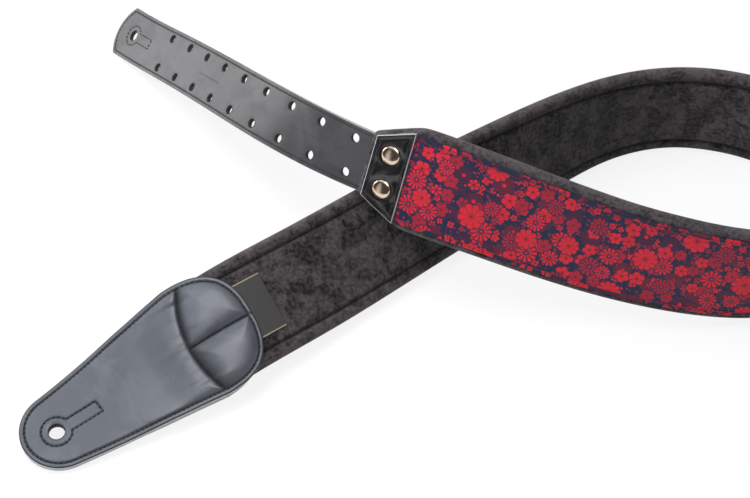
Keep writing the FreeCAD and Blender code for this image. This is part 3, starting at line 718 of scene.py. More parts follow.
class Effects:
    """Surface effects that several finishes share, each built once as a node group."""

    def __init__(self) -> None:
        """Build the groups."""
        self.mottle = self.build_mottle()
        self.grain = self.build_grain()
        self.weave = self.build_weave()
        self.blossom = self.build_blossom()

    @staticmethod
    def build_mottle() -> bpy.types.NodeTree:
        """Soft light and dark patches: coarse noise sharpened, plus fine noise."""
        work, given = group("patches", Coarse=40.0, Fine=400.0, Fine_share=0.35)
        coarse = work.noise(given["Place"], given["Coarse"], 4.0, 0.6, distortion=0.6)
        fine = work.noise(given["Place"], given["Fine"], 2.0, 0.5)
        share = given["Fine share"]
        tone = work.step(coarse, 0.40, 0.61) * (1 - share) + work.step(fine, 0.38, 0.62) * share
        return work.give(Tone=tone)

    @staticmethod
    def build_grain() -> bpy.types.NodeTree:
        """Leather grain: small cells with creases between them, on a slow swell."""
        work, given = group("hide grain", Cells=1400.0)
        warp = work.add("ShaderNodeTexNoise", {"Vector": given["Place"], "Scale": 260.0})
        moved = work.vector("MULTIPLY_ADD", warp["Color"], (0.0012,) * 3, given["Place"])
        cells = work.add("ShaderNodeTexVoronoi", {"Vector": moved, "Scale": given["Cells"]},
                         feature="F1")
        swell = work.noise(given["Place"], 90.0, 2.0)
        return work.give(Height=swell * 0.5 + (1 - cells["Distance"]), Tone=swell)

    @staticmethod
    def build_weave() -> bpy.types.NodeTree:
        """Woven cloth: two crossing sets of rounded yarns, one over the other in steps; its tone is
        painted shade, darker where the yarns dip.
        """
        work, given = group("woven yarns", Yarn=0.42)
        parts = work.parts(given["Place"])
        warp, weft = (work.math("SINE", parts[axis] / given["Yarn"] * math.pi)
                      for axis in (0, 1))
        over = work.step(warp * weft, -0.4, 0.4)
        total = abs(weft) * over + abs(warp) * (1 - over)
        # painted shade: the tone is darker where the yarns lie low
        return work.give(Height=total, Tone=total * 0.25 + 0.8)

    @staticmethod
    def build_blossom() -> bpy.types.NodeTree:
        """A scatter of flat flowers, one to a random cell.

        A flower's edge is at radius times (1 - depth + depth times the root of the
        petal wave), where the petal wave is |cos(petals times angle / 2)|. Where the
        wave is below the gap, an open flower has ground between its petals.
        """
        work, given = group(
            "scattered blossoms", Cell=16.0, Offset=(0.0, 0.0, 0.0), Radius=6.0,
            Fewest_petals=5.0, More_petals=3.0, Depth=0.35, Open_share=0.4, Gap=0.45, Eye=0.16,
            Scatter=0.7, Filled_share=1.0, Long=1.0)
        cell, depth = given["Cell"], given["Depth"]
        cube = work.add("ShaderNodeCombineXYZ", {0: cell, 1: cell, 2: cell})[0]
        place = work.vector("DIVIDE", work.vector("ADD", given["Place"], given["Offset"]), cube)
        cells = work.add("ShaderNodeTexVoronoi", {"Vector": place, "Scale": 1.0,
                                                  "Randomness": given["Scatter"]},
                         feature="F1", voronoi_dimensions="2D")
        chance = work.add("ShaderNodeSeparateColor", {0: cells["Color"]})
        turned = work.add("ShaderNodeVectorRotate",
                          {"Vector": work.vector("SUBTRACT", place, cells["Position"]),
                           "Angle": chance[0] * (2 * math.pi)}, rotation_type="Z_AXIS")[0]
        x = work.parts(turned)[0] * cell
        y = work.parts(turned)[1] * cell * given["Long"]
        far = work.math("SQRT", x * x + y * y)
        petals = given["Fewest petals"] + work.math("FLOOR", chance[1] * given["More petals"])
        wave = abs(work.math("COSINE", petals * work.math("ARCTAN2", y, x) * 0.5))
        grown = given["Radius"] * (chance[2] * 0.35 + 0.75)
        edge = grown * (work.math("POWER", wave, 0.6) * depth + (1 - depth))
        reach = far / grown
        is_open = work.math("LESS_THAN", chance[2], given["Open share"])
        needed = work.math("MAXIMUM", is_open * given["Gap"], 0.16)
        split = work.math("MAXIMUM", work.step(wave - needed, -0.06, 0.06),
                          (1 - is_open) * work.step(reach, 0.55, 0.45))
        ring = work.step(reach - is_open * 0.26, -0.02, 0.02)
        there = work.math("LESS_THAN", chance[1], given["Filled share"])
        return work.give(
            Petals=work.step(edge - far, -0.12, 0.12) * split * ring * there,
            Halo=work.step(edge - far, -0.85, -0.6) * there,
            Eye=work.step(given["Eye"] - reach, -0.03, 0.03) * there,
            Chance=chance[0], Reach=reach)


def new_material(name: str) -> tuple[bpy.types.Material, Tree, bpy.types.Node]:
    """A material with an empty Principled surface."""
    material = bpy.data.materials.new(name)
    material.use_nodes = True
    return material, Tree(material.node_tree), material.node_tree.nodes["Principled BSDF"]


def object_place(work: Tree) -> Wire:
    """Object coordinates, in metres."""
    return work.add("ShaderNodeTexCoord")["Object"]


def cloth_place(work: Tree) -> Wire:
    """The cloth map in millimetres: run and across."""
    return work.scaled(work.add("ShaderNodeUVMap", uv_map="cloth")[0], 1000.0)


@dataclass(frozen=True)
class Velour:
    """Short-napped velour: brushed patches, sheen at the folds, painted shade in seam channels and a
    painted highlight on the rims.
    """

    dark: Colour = (0.002, 0.0016, 0.002)
    light: Colour = (0.102, 0.088, 0.096)

    def build(self, effects: Effects) -> bpy.types.Material:
        """Make the material."""
        material, work, surface = new_material("black velour")
        place = object_place(work)
        patches = work.effect(effects.mottle, Place=place, Coarse=84.0, Fine=430.0,
                              Fine_share=0.45)
        # painted highlight on the rounded rims, and painted shade in the sewn seam channels
        tone = (work.mark("rim_highlight") * 0.3 + patches["Tone"]) * (work.mark("seam") * -0.75 + 1.0)
        pile = work.noise(place, 380.0, 4.0, 0.65) * 1.4 + work.noise(place, 1900.0, 2.0)
        work.fill(surface, {
            "Base Color": work.mix(tone, rgba(self.dark), rgba(self.light)),
            "Roughness": 0.95, "Specular IOR Level": 0.15, "Sheen Weight": 0.22,
            "Sheen Roughness": 0.5, "Sheen Tint": (0.85, 0.82, 0.86, 1.0),
            "Normal": work.bump(pile, 1.0, 0.0011)})
        return material


@dataclass(frozen=True)
class Scatter:
    """One layer of flowers: how the blossoms are coloured, spaced and shaped, in mm.

    petals is the fewest petals and how many counts there are from it upwards. depth and
    eye are shares of the radius, gap is a level of the petal wave, and filled is the
    share of cells that hold a flower.
    """

    first: Colour
    second: Colour
    eye_colour: Colour
    cell: float
    offset: tuple[float, float, float]
    radius: float
    petals: tuple[float, float]
    depth: float
    filled: float
    open_share: float = 0.0
    gap: float = 0.0
    eye: float = 0.0
    scatter: float = 0.75
    longer: float = 1.0

    def place(self, work: Tree, blossom: bpy.types.NodeTree, place: Wire) -> Placed:
        """Place this layer's scatter of blossoms."""
        return work.effect(
            blossom, Place=place, Cell=self.cell, Offset=self.offset, Radius=self.radius,
            Fewest_petals=self.petals[0], More_petals=self.petals[1], Depth=self.depth,
            Open_share=self.open_share, Gap=self.gap, Eye=self.eye, Scatter=self.scatter,
            Filled_share=self.filled, Long=self.longer)


NAVY = (0.0105, 0.019, 0.062)
SCARLET = (0.78, 0.016, 0.038)
CRIMSON = (0.46, 0.012, 0.040)
MAROON = (0.165, 0.012, 0.034)
PLUM = (0.070, 0.012, 0.052)


@dataclass(frozen=True)
class FlowerCloth:
    """Jacquard with layers of flowers on navy, finely woven, with a folded hem."""

    hem: float = 26.9
    layers: tuple[Scatter, ...] = (
        Scatter(CRIMSON, MAROON, NAVY, cell=3.3, offset=(3, 7, 0), radius=1.35, petals=(1, 2),
                depth=0.5, filled=0.88, scatter=0.9, longer=2.0),
        Scatter(CRIMSON, SCARLET, CRIMSON, cell=5.9, offset=(41, 13, 0), radius=2.5,
                petals=(4, 3), depth=0.5, open_share=0.9, gap=0.35, eye=0.14, filled=0.66),
        Scatter(PLUM, MAROON, SCARLET, cell=15.0, offset=(9, 31, 0), radius=6.3, petals=(9, 4),
                depth=0.14, eye=0.2, filled=0.70, scatter=0.7),
        Scatter(SCARLET, CRIMSON, MAROON, cell=11.3, offset=(27, 3, 0), radius=4.8,
                petals=(5, 3), depth=0.34, open_share=0.16, gap=0.4, eye=0.17, filled=0.66,
                scatter=0.62),
        Scatter(CRIMSON, SCARLET, SCARLET, cell=16.0, offset=(5, 19, 0), radius=6.4,
                petals=(11, 4), depth=0.16, open_share=1.0, gap=0.5, eye=0.12, filled=0.62,
                scatter=0.62),
        Scatter(SCARLET, SCARLET, MAROON, cell=33.0, offset=(16, 11, 0), radius=7.9,
                petals=(9, 4), depth=0.26, eye=0.12, filled=0.9, scatter=0.55),
    )

    def build(self, effects: Effects) -> bpy.types.Material:
        """Make the material."""
        material, work, surface = new_material("flower jacquard")
        cloth = cloth_place(work)
        parts = work.parts(cloth)
        folded = work.step(abs(parts[1]), self.hem - 0.1, self.hem + 0.1)
        hem_place = work.add("ShaderNodeCombineXYZ", {0: parts[0] * 0.55,
                                                      1: parts[1] * 0.35 + 61.0})[0]
        place = work.add("ShaderNodeMix", {0: folded, 4: cloth, 5: hem_place},
                         data_type="VECTOR")[1]
        colour: object = rgba(NAVY)
        raised: object = 0.0
        for layer in self.layers:
            flower = layer.place(work, effects.blossom, place)
            petal = work.mix(work.step(flower["Chance"], 0.35, 0.65), rgba(layer.first),
                             rgba(layer.second))
            shaded = work.mix(work.step(flower["Reach"], 0.5, 0.1) * 0.35, petal, rgba(MAROON))
            colour = work.mix(flower["Halo"], colour, rgba(NAVY))
            colour = work.mix(flower["Petals"], colour, shaded)
            colour = work.mix(flower["Eye"], colour, rgba(layer.eye_colour))
            raised = work.math("MAXIMUM", raised, flower["Petals"])
        weave = work.effect(effects.weave, Place=cloth)
        work.fill(surface, {
            # the weave's tone is painted shade between the yarns
            "Base Color": work.scaled(colour, weave["Tone"]),
            "Roughness": 0.62, "Specular IOR Level": 0.3, "Sheen Weight": 0.08,
            "Normal": work.bump(raised * 0.6 + weave["Height"] * 0.8, 0.8, 0.0003)})
        return material


@dataclass(frozen=True)
class Hide:
    """Finished leather with a dark rim of painted shade and a paler cut edge.

    The point attribute "edge" is the distance in mm from the piece's outline, 0 on the
    cut wall, and "fold" is 1 in sewn channels and pressed lines, where the colour is
    darkened as painted shade.
    """

    name: str
    face: Colour
    deep: Colour
    wall: Colour
    rough: float
    rim: float = 0.0
    pale: float = 0.1
    relief: float = 0.25
    coat: float = 0.0

    def build(self, effects: Effects) -> bpy.types.Material:
        """Make the material."""
        material, work, surface = new_material(self.name)
        place = object_place(work)
        grain = work.effect(effects.grain, Place=place)
        patches = work.effect(effects.mottle, Place=place, Coarse=30.0, Fine=1500.0,
                              Fine_share=0.3)
        edge, groove_shade = work.mark("edge"), work.mark("groove_shade")
        dark = rgba(self.deep, 0.12)
        colour = work.mix(patches["Tone"] * 0.7 + 0.15, rgba(self.deep), rgba(self.face))
        # painted shade: the fold mark darkens sewn channels, seams and pressed lines
        colour = work.mix(groove_shade * 0.9, colour, dark)
        # painted shade: a dark ring over the outline's first rim millimetres, where the leather
        # rolls over
        if self.rim:
            colour = work.mix(work.step(edge, self.rim, self.rim * 0.6), colour, dark)
        colour = work.mix(work.step(edge, self.pale, self.pale * 0.3), colour, rgba(self.wall))
        rough = grain["Tone"] * 0.16 + (self.rough - 0.08)
        work.fill(surface, {
            "Base Color": colour,
            "Roughness": work.math("MULTIPLY_ADD", groove_shade, 0.5, rough, clamp=True),
            "Coat Weight": work.math("MULTIPLY_ADD", groove_shade, -self.coat, self.coat, clamp=True),
            "Coat Roughness": self.rough * 0.6,
            "Normal": work.bump(grain["Height"], self.relief, 0.00012)})
        return material


@dataclass(frozen=True)
class Metal:
    """Polished or brushed metal with faint wear."""

    name: str
    colour: Colour
    rough: float

    def build(self, effects: Effects) -> bpy.types.Material:
        """Make the material."""
        material, work, surface = new_material(self.name)
        patches = work.effect(effects.mottle, Place=object_place(work), Coarse=300.0,
                              Fine=3000.0)
        work.fill(surface, {
            "Base Color": work.mix(patches["Tone"] * 0.25, rgba(self.colour),
                                   rgba(self.colour, 0.7)),
            "Metallic": 1.0, "Roughness": patches["Tone"] * 0.08 + self.rough})
        return material


@dataclass(frozen=True)
class Yarn:
    """Twisted sewing thread."""

    colour: Colour = (0.006, 0.006, 0.007)

    def build(self, effects: Effects) -> bpy.types.Material:
        """Make the material."""
        material, work, surface = new_material("black thread")
        fibres = work.noise(object_place(work), 3000.0, 2.0)
        work.fill(surface, {
            "Base Color": work.mix(fibres, rgba(self.colour), rgba(self.colour, 4)),
            "Roughness": 0.55, "Normal": work.bump(fibres, 0.4, 0.0001)})
        return material


@dataclass(frozen=True)
class LabelSatin:
    """Black satin ribbon, bare, with a thin gold line near each side."""

    ground: Colour = (0.016, 0.015, 0.016)
    gold: Colour = (0.44, 0.37, 0.21)
    line: float = 18.1

    def build(self, effects: Effects) -> bpy.types.Material:
        """Make the material."""
        material, work, surface = new_material("black satin")
        cloth = cloth_place(work)
        stripe = work.step(abs(abs(work.parts(cloth)[1]) - self.line), 0.3, 0.16)
        weave = work.effect(effects.weave, Place=cloth, Yarn=0.3)
        # painted shade: the satin is darker where its yarns lie low
        ground = work.mix(weave["Height"], rgba(self.ground, 0.6), rgba(self.ground))
        work.fill(surface, {
            "Base Color": work.mix(stripe, ground, rgba(self.gold)), "Roughness": 0.42,
            "Normal": work.bump(weave["Height"], 0.4, 0.0001)})
        return material


class Finish(Enum):
    """The strap's finishes, each with the record's slot that it belongs to."""

    VELOUR = "black_velour"
    FLOWERS = "flower_jacquard"
    SATIN = "black_satin"
    TAB = "tab_leather"
    TONGUE = "tongue_leather"
    GLOSS = "gloss_leather"
    CORE = "core_leather"
    THREAD = "thread"
    BRASS = "pale_brass"
    NICKEL = "nickel"


class Finishes:
    """All materials of the strap, made once."""

    def __init__(self) -> None:
        """Build every material."""
        effects = Effects()
        recipes = {
            Finish.VELOUR: Velour(),
            Finish.FLOWERS: FlowerCloth(),
            Finish.SATIN: LabelSatin(),
            # the tab's rim=0.9 is painted shade along its outline
            Finish.TAB: Hide("slate leather", face=(0.120, 0.133, 0.158),
                             deep=(0.066, 0.074, 0.092), wall=(0.50, 0.51, 0.54), rough=0.38,
                             rim=0.9, relief=0.35, coat=0.25),
            Finish.TONGUE: Hide("tongue leather", face=(0.064, 0.065, 0.070),
                                deep=(0.022, 0.023, 0.026), wall=(0.36, 0.365, 0.38),
                                rough=0.40, pale=0.5, relief=0.3),
            Finish.GLOSS: Hide("gloss leather", face=(0.010, 0.010, 0.011),
                               deep=(0.006, 0.006, 0.007), wall=(0.40, 0.40, 0.41), rough=0.2,
                               pale=0.25, relief=0.12, coat=0.7),
            Finish.CORE: Hide("core leather", face=(0.060, 0.056, 0.054),
                              deep=(0.036, 0.034, 0.033), wall=(0.42, 0.43, 0.45), rough=0.8,
                              relief=0.5),
            Finish.THREAD: Yarn(),
            Finish.BRASS: Metal("pale brass", (0.84, 0.66, 0.52), 0.09),
            Finish.NICKEL: Metal("nickel", (0.62, 0.61, 0.58), 0.24),
        }
        self.made = {finish: recipe.build(effects) for finish, recipe in recipes.items()}

    def dress(self, piece: bpy.types.Object, finish: Finish) -> None:
        """Give a piece its finish."""
        piece.data.materials.clear()
        piece.data.materials.append(self.made[finish])


@dataclass
class Part:
    """A sub-assembly: its finishes, the body that it rides on and its sewing thread."""

    finishes: Finishes
    body: str = "strap"
    thread: Thread = Thread()

    def settle(self, piece: bpy.types.Object, finish: Finish, nodes: Sequence[str] = (),
               slot: str = "", body: str = "") -> None:
        """Dress a piece, and say its body and the CAD nodes that it stands for.

        Args:
            piece: The piece.
            finish: What it is made of.
            nodes: CAD nodes that it replaces.
            slot: Not used.
            body: The body that it rides on, where that isn't the sub-assembly's.
        """
        self.finishes.dress(piece, finish)
        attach(piece, body or self.body)
        if nodes:
            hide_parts(*nodes)
        log.info("%s on %s: %d faces", piece.name, body or self.body, len(piece.data.polygons))

    def stitch(self, name: str, paths: Sequence[np.ndarray], level: Level, side: float,
               slot: str) -> bpy.types.Object:
        """Sew paths with the sub-assembly's thread."""
        stitches = self.thread.sew(name, paths, level, side)
        self.settle(stitches, Finish.THREAD, slot=slot)
        return stitches


# ---------------------------------------------------------------- padded body


@dataclass
class PaddedBody(Part):
    """The velour cushion, its flowered face and the label."""

    roll: float = 4.0
    nose: float = 3.0
    channel_inset: float = 8.6
    channel_depth: float = 1.5
    lip_bulge: float = 0.75
    sink: float = 1.7
    fabric_half: float = 30.0
    hem: float = 3.1
    hem_rise: float = 0.42
    label_half: float = 19.0
    label_depth: float = 22.0
    label_tuck: float = 6.0

    @property
    def hem_seam(self) -> float:
        """Distance of the hem's stitches from the fabric's edge."""
        return self.hem * 0.62

    def back(self, run: np.ndarray, across: np.ndarray) -> np.ndarray:
        """Level of the velour back: flat, rounder rims, a sewn channel inside each rim.

        Under the tab it is sunk, so that the tab's valley doesn't meet it.
        """
        half = LAYOUT.half(run)
        inset = half - np.abs(across)
        channel = bump_at(inset - self.channel_inset, 1.25)
        rim = bump_at(inset - self.channel_inset * 0.5, 2.6)
        under_plate = blend(0.0, 1.0, (run - LAYOUT.plate_start + 15.5) / 12.0)
        under_tab = blend(1.0, 0.0, (run - LAYOUT.tab_end + 18.0) / 20.0)
        quiet = 1 - np.maximum(under_plate, under_tab)
        swell = (0.35 * rim - self.channel_depth * channel
                 + 0.22 * ripple(run, across)) * quiet
        sunk = (self.sink * blend(0.0, 1.0, (run - LAYOUT.body_start - 9.0) / 8.0)
                * blend(1.0, 0.0, (run - LAYOUT.tab_end + 22.0) / 12.0))
        return LAYOUT.back_level * LAYOUT.pinch(run) + swell - 0.12 * (1 - quiet) - sunk

    def front(self, run: np.ndarray, across: np.ndarray) -> np.ndarray:
        """Level of the front: flat under the fabric, and a soft roll outside it."""
        inset = LAYOUT.half(run) - np.abs(across)
        roll = blend(1.0, 0.0, (inset - 3.2) / 1.6) * blend(0.0, 1.0, inset / 1.5)
        near_end = blend(1.0, 0.0, (run - LAYOUT.plate_start + 6.5) / 5.0)
        return -(LAYOUT.lip_level * LAYOUT.pinch(run) + 0.08
                 + self.lip_bulge * roll * near_end * LAYOUT.pinch(run))

    def section(self, run: np.ndarray) -> tuple[np.ndarray, np.ndarray]:
        """Across and out of the points of the cushion's section, in order round it.

        The section goes across the front, round one edge as a half ellipse, across the
        back and round the other edge. Near both ends it shrinks to a rounded nose. Its
        points lie closer together near the edges, where the sewn channels are.

        Args:
            run: A column of runs.

        Returns:
            Two arrays with a row for each run.
        """
        from_end = np.minimum(run - LAYOUT.body_start, LAYOUT.body_end - run)
        shrink = 1 - edge_drop(from_end, self.nose) * 0.5
        inner = LAYOUT.half(run) - self.roll
        near_edge = np.concatenate([np.linspace(0, 9, 16), np.linspace(10, 30, 9)])
        width = 62.0
        share = np.concatenate([near_edge, width - near_edge[::-1]]) / width
        forward = inner * (share[None, :] * 2 - 1)
        arc = np.linspace(-np.pi / 2, np.pi / 2, 13)[None, 1:-1]
        edge = inner + self.roll * np.cos(arc)
        back_edge, front_edge = self.back(run, inner), self.front(run, inner)
        middle, thick = (back_edge + front_edge) / 2, (back_edge - front_edge) / 2
        across = np.concatenate([forward, edge, -forward, -edge], axis=1)
        out = np.concatenate([self.front(run, forward), middle + thick * np.sin(arc),
                              self.back(run, -forward), middle - thick * np.sin(arc)], axis=1)
        return (across - np.sign(across) * (1 - shrink) * 2.0,
                middle + (out - middle) * shrink)

    def build_velour(self) -> bpy.types.Object:
        """The cushion as one closed loft, its section carried along the route."""
        start, end = LAYOUT.body_start, LAYOUT.body_end
        near_end = np.array([0.0, 0.25, 0.8, 1.7, 2.8])
        run = np.concatenate([start + near_end, np.linspace(start + 4, end - 4, 640),
                              end - near_end[::-1]])[:, None]
        across, out = self.section(run)
        rows, columns = out.shape
        points = ROUTE.points(np.broadcast_to(run, out.shape), across, out).reshape(-1, 3)
        number = np.arange(rows * columns).reshape(rows, columns)
        beside = np.roll(number, -1, axis=1)
        faces = np.stack([number[:-1], beside[:-1], beside[1:], number[1:]], axis=-1)
        inset = LAYOUT.half(run) - np.abs(across)
        # painted shade: the velour is darker in the sewn channels on the back
        seam = bump_at(inset - self.channel_inset, 1.3) * (out > 0)
        # painted highlight: the rounded rims' tone is raised, as if lit from above
        rim_highlight = blend(1.0, 0.0, (inset - 1.5) / 4.0)
        cloth = np.stack([np.broadcast_to(run, out.shape).ravel(), across.ravel()], axis=1) * MM
        caps = [number[0, ::-1].tolist(), number[-1].tolist()]
        piece = make_piece("velour_body", points, faces.reshape(-1, 4), cloth,
                           {"seam": seam, "rim_highlight": rim_highlight}, sharp=60.0, more_faces=caps)
        self.settle(piece, Finish.VELOUR, ("back_lining", "foam_pad", "pocket_pad", "webbing_core"))
        return piece

    def fabric_level(self, run: np.ndarray, across: np.ndarray) -> np.ndarray:
        """Front level of the fabric: a gentle crown, a raised hem, dimples along the sewing."""
        off = np.abs(across)
        half = np.minimum(self.fabric_half, LAYOUT.plate_half(run) - 1.0)
        inset = half - off
        hem = blend(1.0, 0.0, (inset - self.hem) / 0.5)
        edge = 1 - edge_drop(inset, 0.5)
        sewn = bump_at(inset - self.hem_seam, 0.55)
        puckers = 0.10 * np.sin(run * 2 * np.pi / self.thread.pitch) * sewn
        crown = 0.10 * ripple(run * 0.8, across) * blend(0.0, 1.0, inset / 6.0)
        rise = (self.hem_rise * hem - 0.2 * sewn + crown) * edge + puckers
        return -(LAYOUT.lip_level * LAYOUT.pinch(run) + 0.86 + rise - 0.25 * (1 - edge))

    def build_fabric(self) -> bpy.types.Object:
        """The flowered face and the stitches that hold its hem."""
        rows = np.linspace(LAYOUT.body_start, LAYOUT.plate_start + 2.0, 900)[:, None]
        inner = np.linspace(-24.5, 24.5, 26)
        edge = np.array([25.6, 26.3, 26.6, 26.9, 27.2, 27.6, 28.0, 28.4, 28.8, 29.2, 29.5, 29.7,
                         29.85, 29.95, 30.0])
        columns = np.concatenate([-edge[::-1], inner, edge])[None, :] / self.fabric_half
        half = np.minimum(self.fabric_half, LAYOUT.plate_half(rows) - 1.0)
        run = np.broadcast_to(rows, (rows.shape[0], columns.shape[1]))
        across = columns * half
        back = np.broadcast_to(-(LAYOUT.lip_level * LAYOUT.pinch(rows) + 0.2), run.shape)
        piece = slab("flower_fabric", run, across, self.fabric_level(run, across), back,
                     sharp=60.0)
        self.settle(piece, Finish.FLOWERS, ("front_fabric",))
        reach = self.fabric_half - self.hem_seam
        ends = np.array([LAYOUT.tab_end - 60.0, LAYOUT.plate_start - 1.0])
        lines = [np.stack([ends, np.full(2, side * reach)], axis=1) for side in (-1, 1)]
        stitches = self.stitch("fabric_stitches", lines, self.fabric_level, -1.0, "black_velour")
        return piece

    def build_label(self) -> bpy.types.Object:
        """The bare satin label that comes from under the tab."""
        runs = LAYOUT.tab_end + np.linspace(-self.label_tuck, self.label_depth - self.label_tuck, 40)
        columns = np.linspace(-self.label_half, self.label_half, 40)
        run, across = np.broadcast_arrays(runs[:, None], columns[None, :])
        free = blend(0.0, 1.0, (run - LAYOUT.tab_end - 10.0) / 6.0)
        lift = 0.25 * free * (1 + np.sin(across / 6.0)) / 2
        level = LAYOUT.back_level + 0.42 + lift + 0.08 * ripple(run, across)
        piece = slab("satin_label", run, across, level - 0.12, level + 0.14)
        self.settle(piece, Finish.SATIN, ("woven_label",))
        return piece

    def build(self) -> None:
        """Build the whole padded body."""
        self.build_velour()
        self.build_fabric()
        self.build_label()


# ---------------------------------------------------------------- end tab


@dataclass
class EndTab(Part):
    """The quilted leather tab with its button hole and stitched slot."""

    tip_radius: float = 24.5
    wide_run: float = 128.0
    wide_half: float = 37.5
    end_depth: float = 40.0
    end_power: float = 2.6
    wall: float = 1.4
    hole_radius: float = 5.0
    ring_radius: float = 9.3
    slot_half: float = 4.0
    slot_end: float = 58.9
    slit: float = 24.0
    seam_inset: float = 3.1
    centre_seam: float = -1.7
    cell_rise: float = 4.2
    cell_width: float = 5.5
    pad_rise: float = 0.55
    pad_swell: float = 1.9
    pad_width: float = 2.6
    thread: Thread = Thread(pitch=3.0, length=2.5, radius=0.8, sink=0.05)

    def half(self, run: np.ndarray) -> np.ndarray:
        """Half width: the tip's circle, its straight tangent, then a superellipse."""
        centre = LAYOUT.tab_start + self.tip_radius
        reach = self.wide_run - centre
        distance = math.hypot(reach, self.wide_half)
        touch = math.atan2(self.wide_half, reach) + math.acos(self.tip_radius / distance)
        touch_run = centre + self.tip_radius * math.cos(touch)
        touch_half = self.tip_radius * math.sin(touch)
        slope = (self.wide_half - touch_half) / (self.wide_run - touch_run)
        circle = np.sqrt(np.clip(self.tip_radius ** 2 - (run - centre) ** 2, 0, None))
        side = touch_half + slope * (run - touch_run)
        share = np.clip((run - self.wide_run) / self.end_depth, 0, 1)
        end = self.wide_half * np.clip(1 - share ** self.end_power, 0, 1) ** (1 / self.end_power)
        return np.where(run < touch_run, circle, np.where(run < self.wide_run, side, end))

    def outline(self) -> np.ndarray:
        """Rows of (run, across) round the whole outline, tip first."""
        share = (1 - np.cos(np.linspace(0, np.pi, 500))) / 2
        run = LAYOUT.tab_start + (LAYOUT.tab_end - LAYOUT.tab_start) * share
        half = self.half(run)
        return np.concatenate([np.stack([run, half], axis=1),
                               np.stack([run[::-1], -half[::-1]], axis=1)])

    def inset(self, run: np.ndarray, across: np.ndarray) -> np.ndarray:
        """Distance from the outline, found against close points of it."""
        places = np.stack([np.ravel(run), np.ravel(across)], axis=1)
        line = self.outline()
        best = np.full(len(places), 1e9)
        for part in np.array_split(line, 20):
            gap = places[:, None, :] - part[None, :, :]
            best = np.minimum(best, np.einsum("ijk,ijk->ij", gap, gap).min(axis=1))
        return np.sqrt(best).reshape(np.shape(run))

    def cross_seam(self, across: np.ndarray) -> np.ndarray:
        """Run of the curved seam across the tab: a parabola with its top near the middle."""
        return 122.3 + 0.0072 * (across + 10.0) ** 2

    def seam_gaps(self, run: np.ndarray, across: np.ndarray) -> tuple[np.ndarray, ...]:
        """Distances past the cross seam (signed) and from the centre seam."""
        lean = 0.0144 * (across + 10.0)
        past = (run - self.cross_seam(across)) / np.sqrt(1 + lean ** 2)
        beside = np.hypot(across - self.centre_seam, np.clip(-past, 0, None))
        return past, beside

    def keyhole_gap(self, run: np.ndarray, across: np.ndarray) -> np.ndarray:
        """Distance from the line of stitches round the hole and its slot."""
        away = np.hypot(run - LAYOUT.tab_hole, across)
        ring = np.abs(away - self.ring_radius)
        past_ring = run > LAYOUT.tab_hole + math.sqrt(self.ring_radius ** 2
                                                      - self.slot_half ** 2)
        ring = np.where(past_ring & (np.abs(across) < self.slot_half), 9.0, ring)
        inside = (run < self.slot_end) & past_ring
        sides = np.where(inside, np.abs(np.abs(across) - self.slot_half), 9.0)
        end = np.where(np.abs(across) < self.slot_half, np.abs(run - self.slot_end), 9.0)
        return np.minimum(np.minimum(ring, sides), end)

    def padding(self, run: np.ndarray, past: np.ndarray, beside: np.ndarray,
                from_edge: np.ndarray) -> np.ndarray:
        """Rise over the foam: 1 - exp(-d / width), with the distance d to the nearest seam.

        The two cells past the cross seam stand full. The pad before it is low, swells
        towards the seam and dies out before the button hole.
        """
        after = 1 - blend(1.0, 0.0, (past + 0.6) / 1.2)
        pad_gap = np.minimum(from_edge, np.abs(past))
        cell_gap = np.minimum(pad_gap, beside)
        cell = self.cell_rise * (1 - np.exp(-cell_gap / self.cell_width)) * after
        swell = self.pad_rise + self.pad_swell * np.exp(-np.clip(-past, 0, None) / 20.0)
        pad = swell * (1 - np.exp(-pad_gap / self.pad_width)) * (1 - after)
        return cell + pad * blend(0.35, 1.0, (run - 45.0) / 40.0)

    def creasing(self, run: np.ndarray, across: np.ndarray, past: np.ndarray,
                 from_edge: np.ndarray) -> np.ndarray:
        """Slanting creases on the pad, puckers along the cross seam, waves, pressed lines.

        The creases keep between the hole and the seam. The puckers are waves across the
        tab that fade with the distance from the seam.
        """
        free = 1 - np.exp(-from_edge / 6.0)
        slant = (run - 0.22 * across) * 0.17 + 0.9 + 0.5 * np.sin(across / 9)
        on_pad = blend(0.0, 1.0, (run - 55.0) / 20.0) * blend(1.0, 0.0, (run - 112.0) / 10.0)
        creases = 0.42 * np.sin(slant) * on_pad * free
        uneven = 0.6 + 0.4 * np.sin(across * 0.23 + 1.0)
        fade = np.where(past < 0, 10.0, 6.0)
        gathers = 0.55 * np.sin(across * 0.66 + 0.8) + 0.14 * np.sin(across * 1.4 + past * 0.12)
        held = 1 - np.exp(-np.minimum(from_edge, np.abs(past)) / 1.6)
        pucker = np.exp(-np.abs(past) / fade) * uneven * gathers * held
        waves = 0.34 * ripple(run * 0.7, across * 0.8) * (1 - np.exp(-from_edge / 5.0))
        near_line = 0.16 * bump_at(run - 62.0 - 2.4 * np.sin(across / 6.5), 1.1)
        far_line = 0.20 * bump_at(run - 77.0 - 3.0 * np.sin(across / 8.0 + 1.0), 1.3)
        return creases + pucker + waves - (near_line + far_line) * free

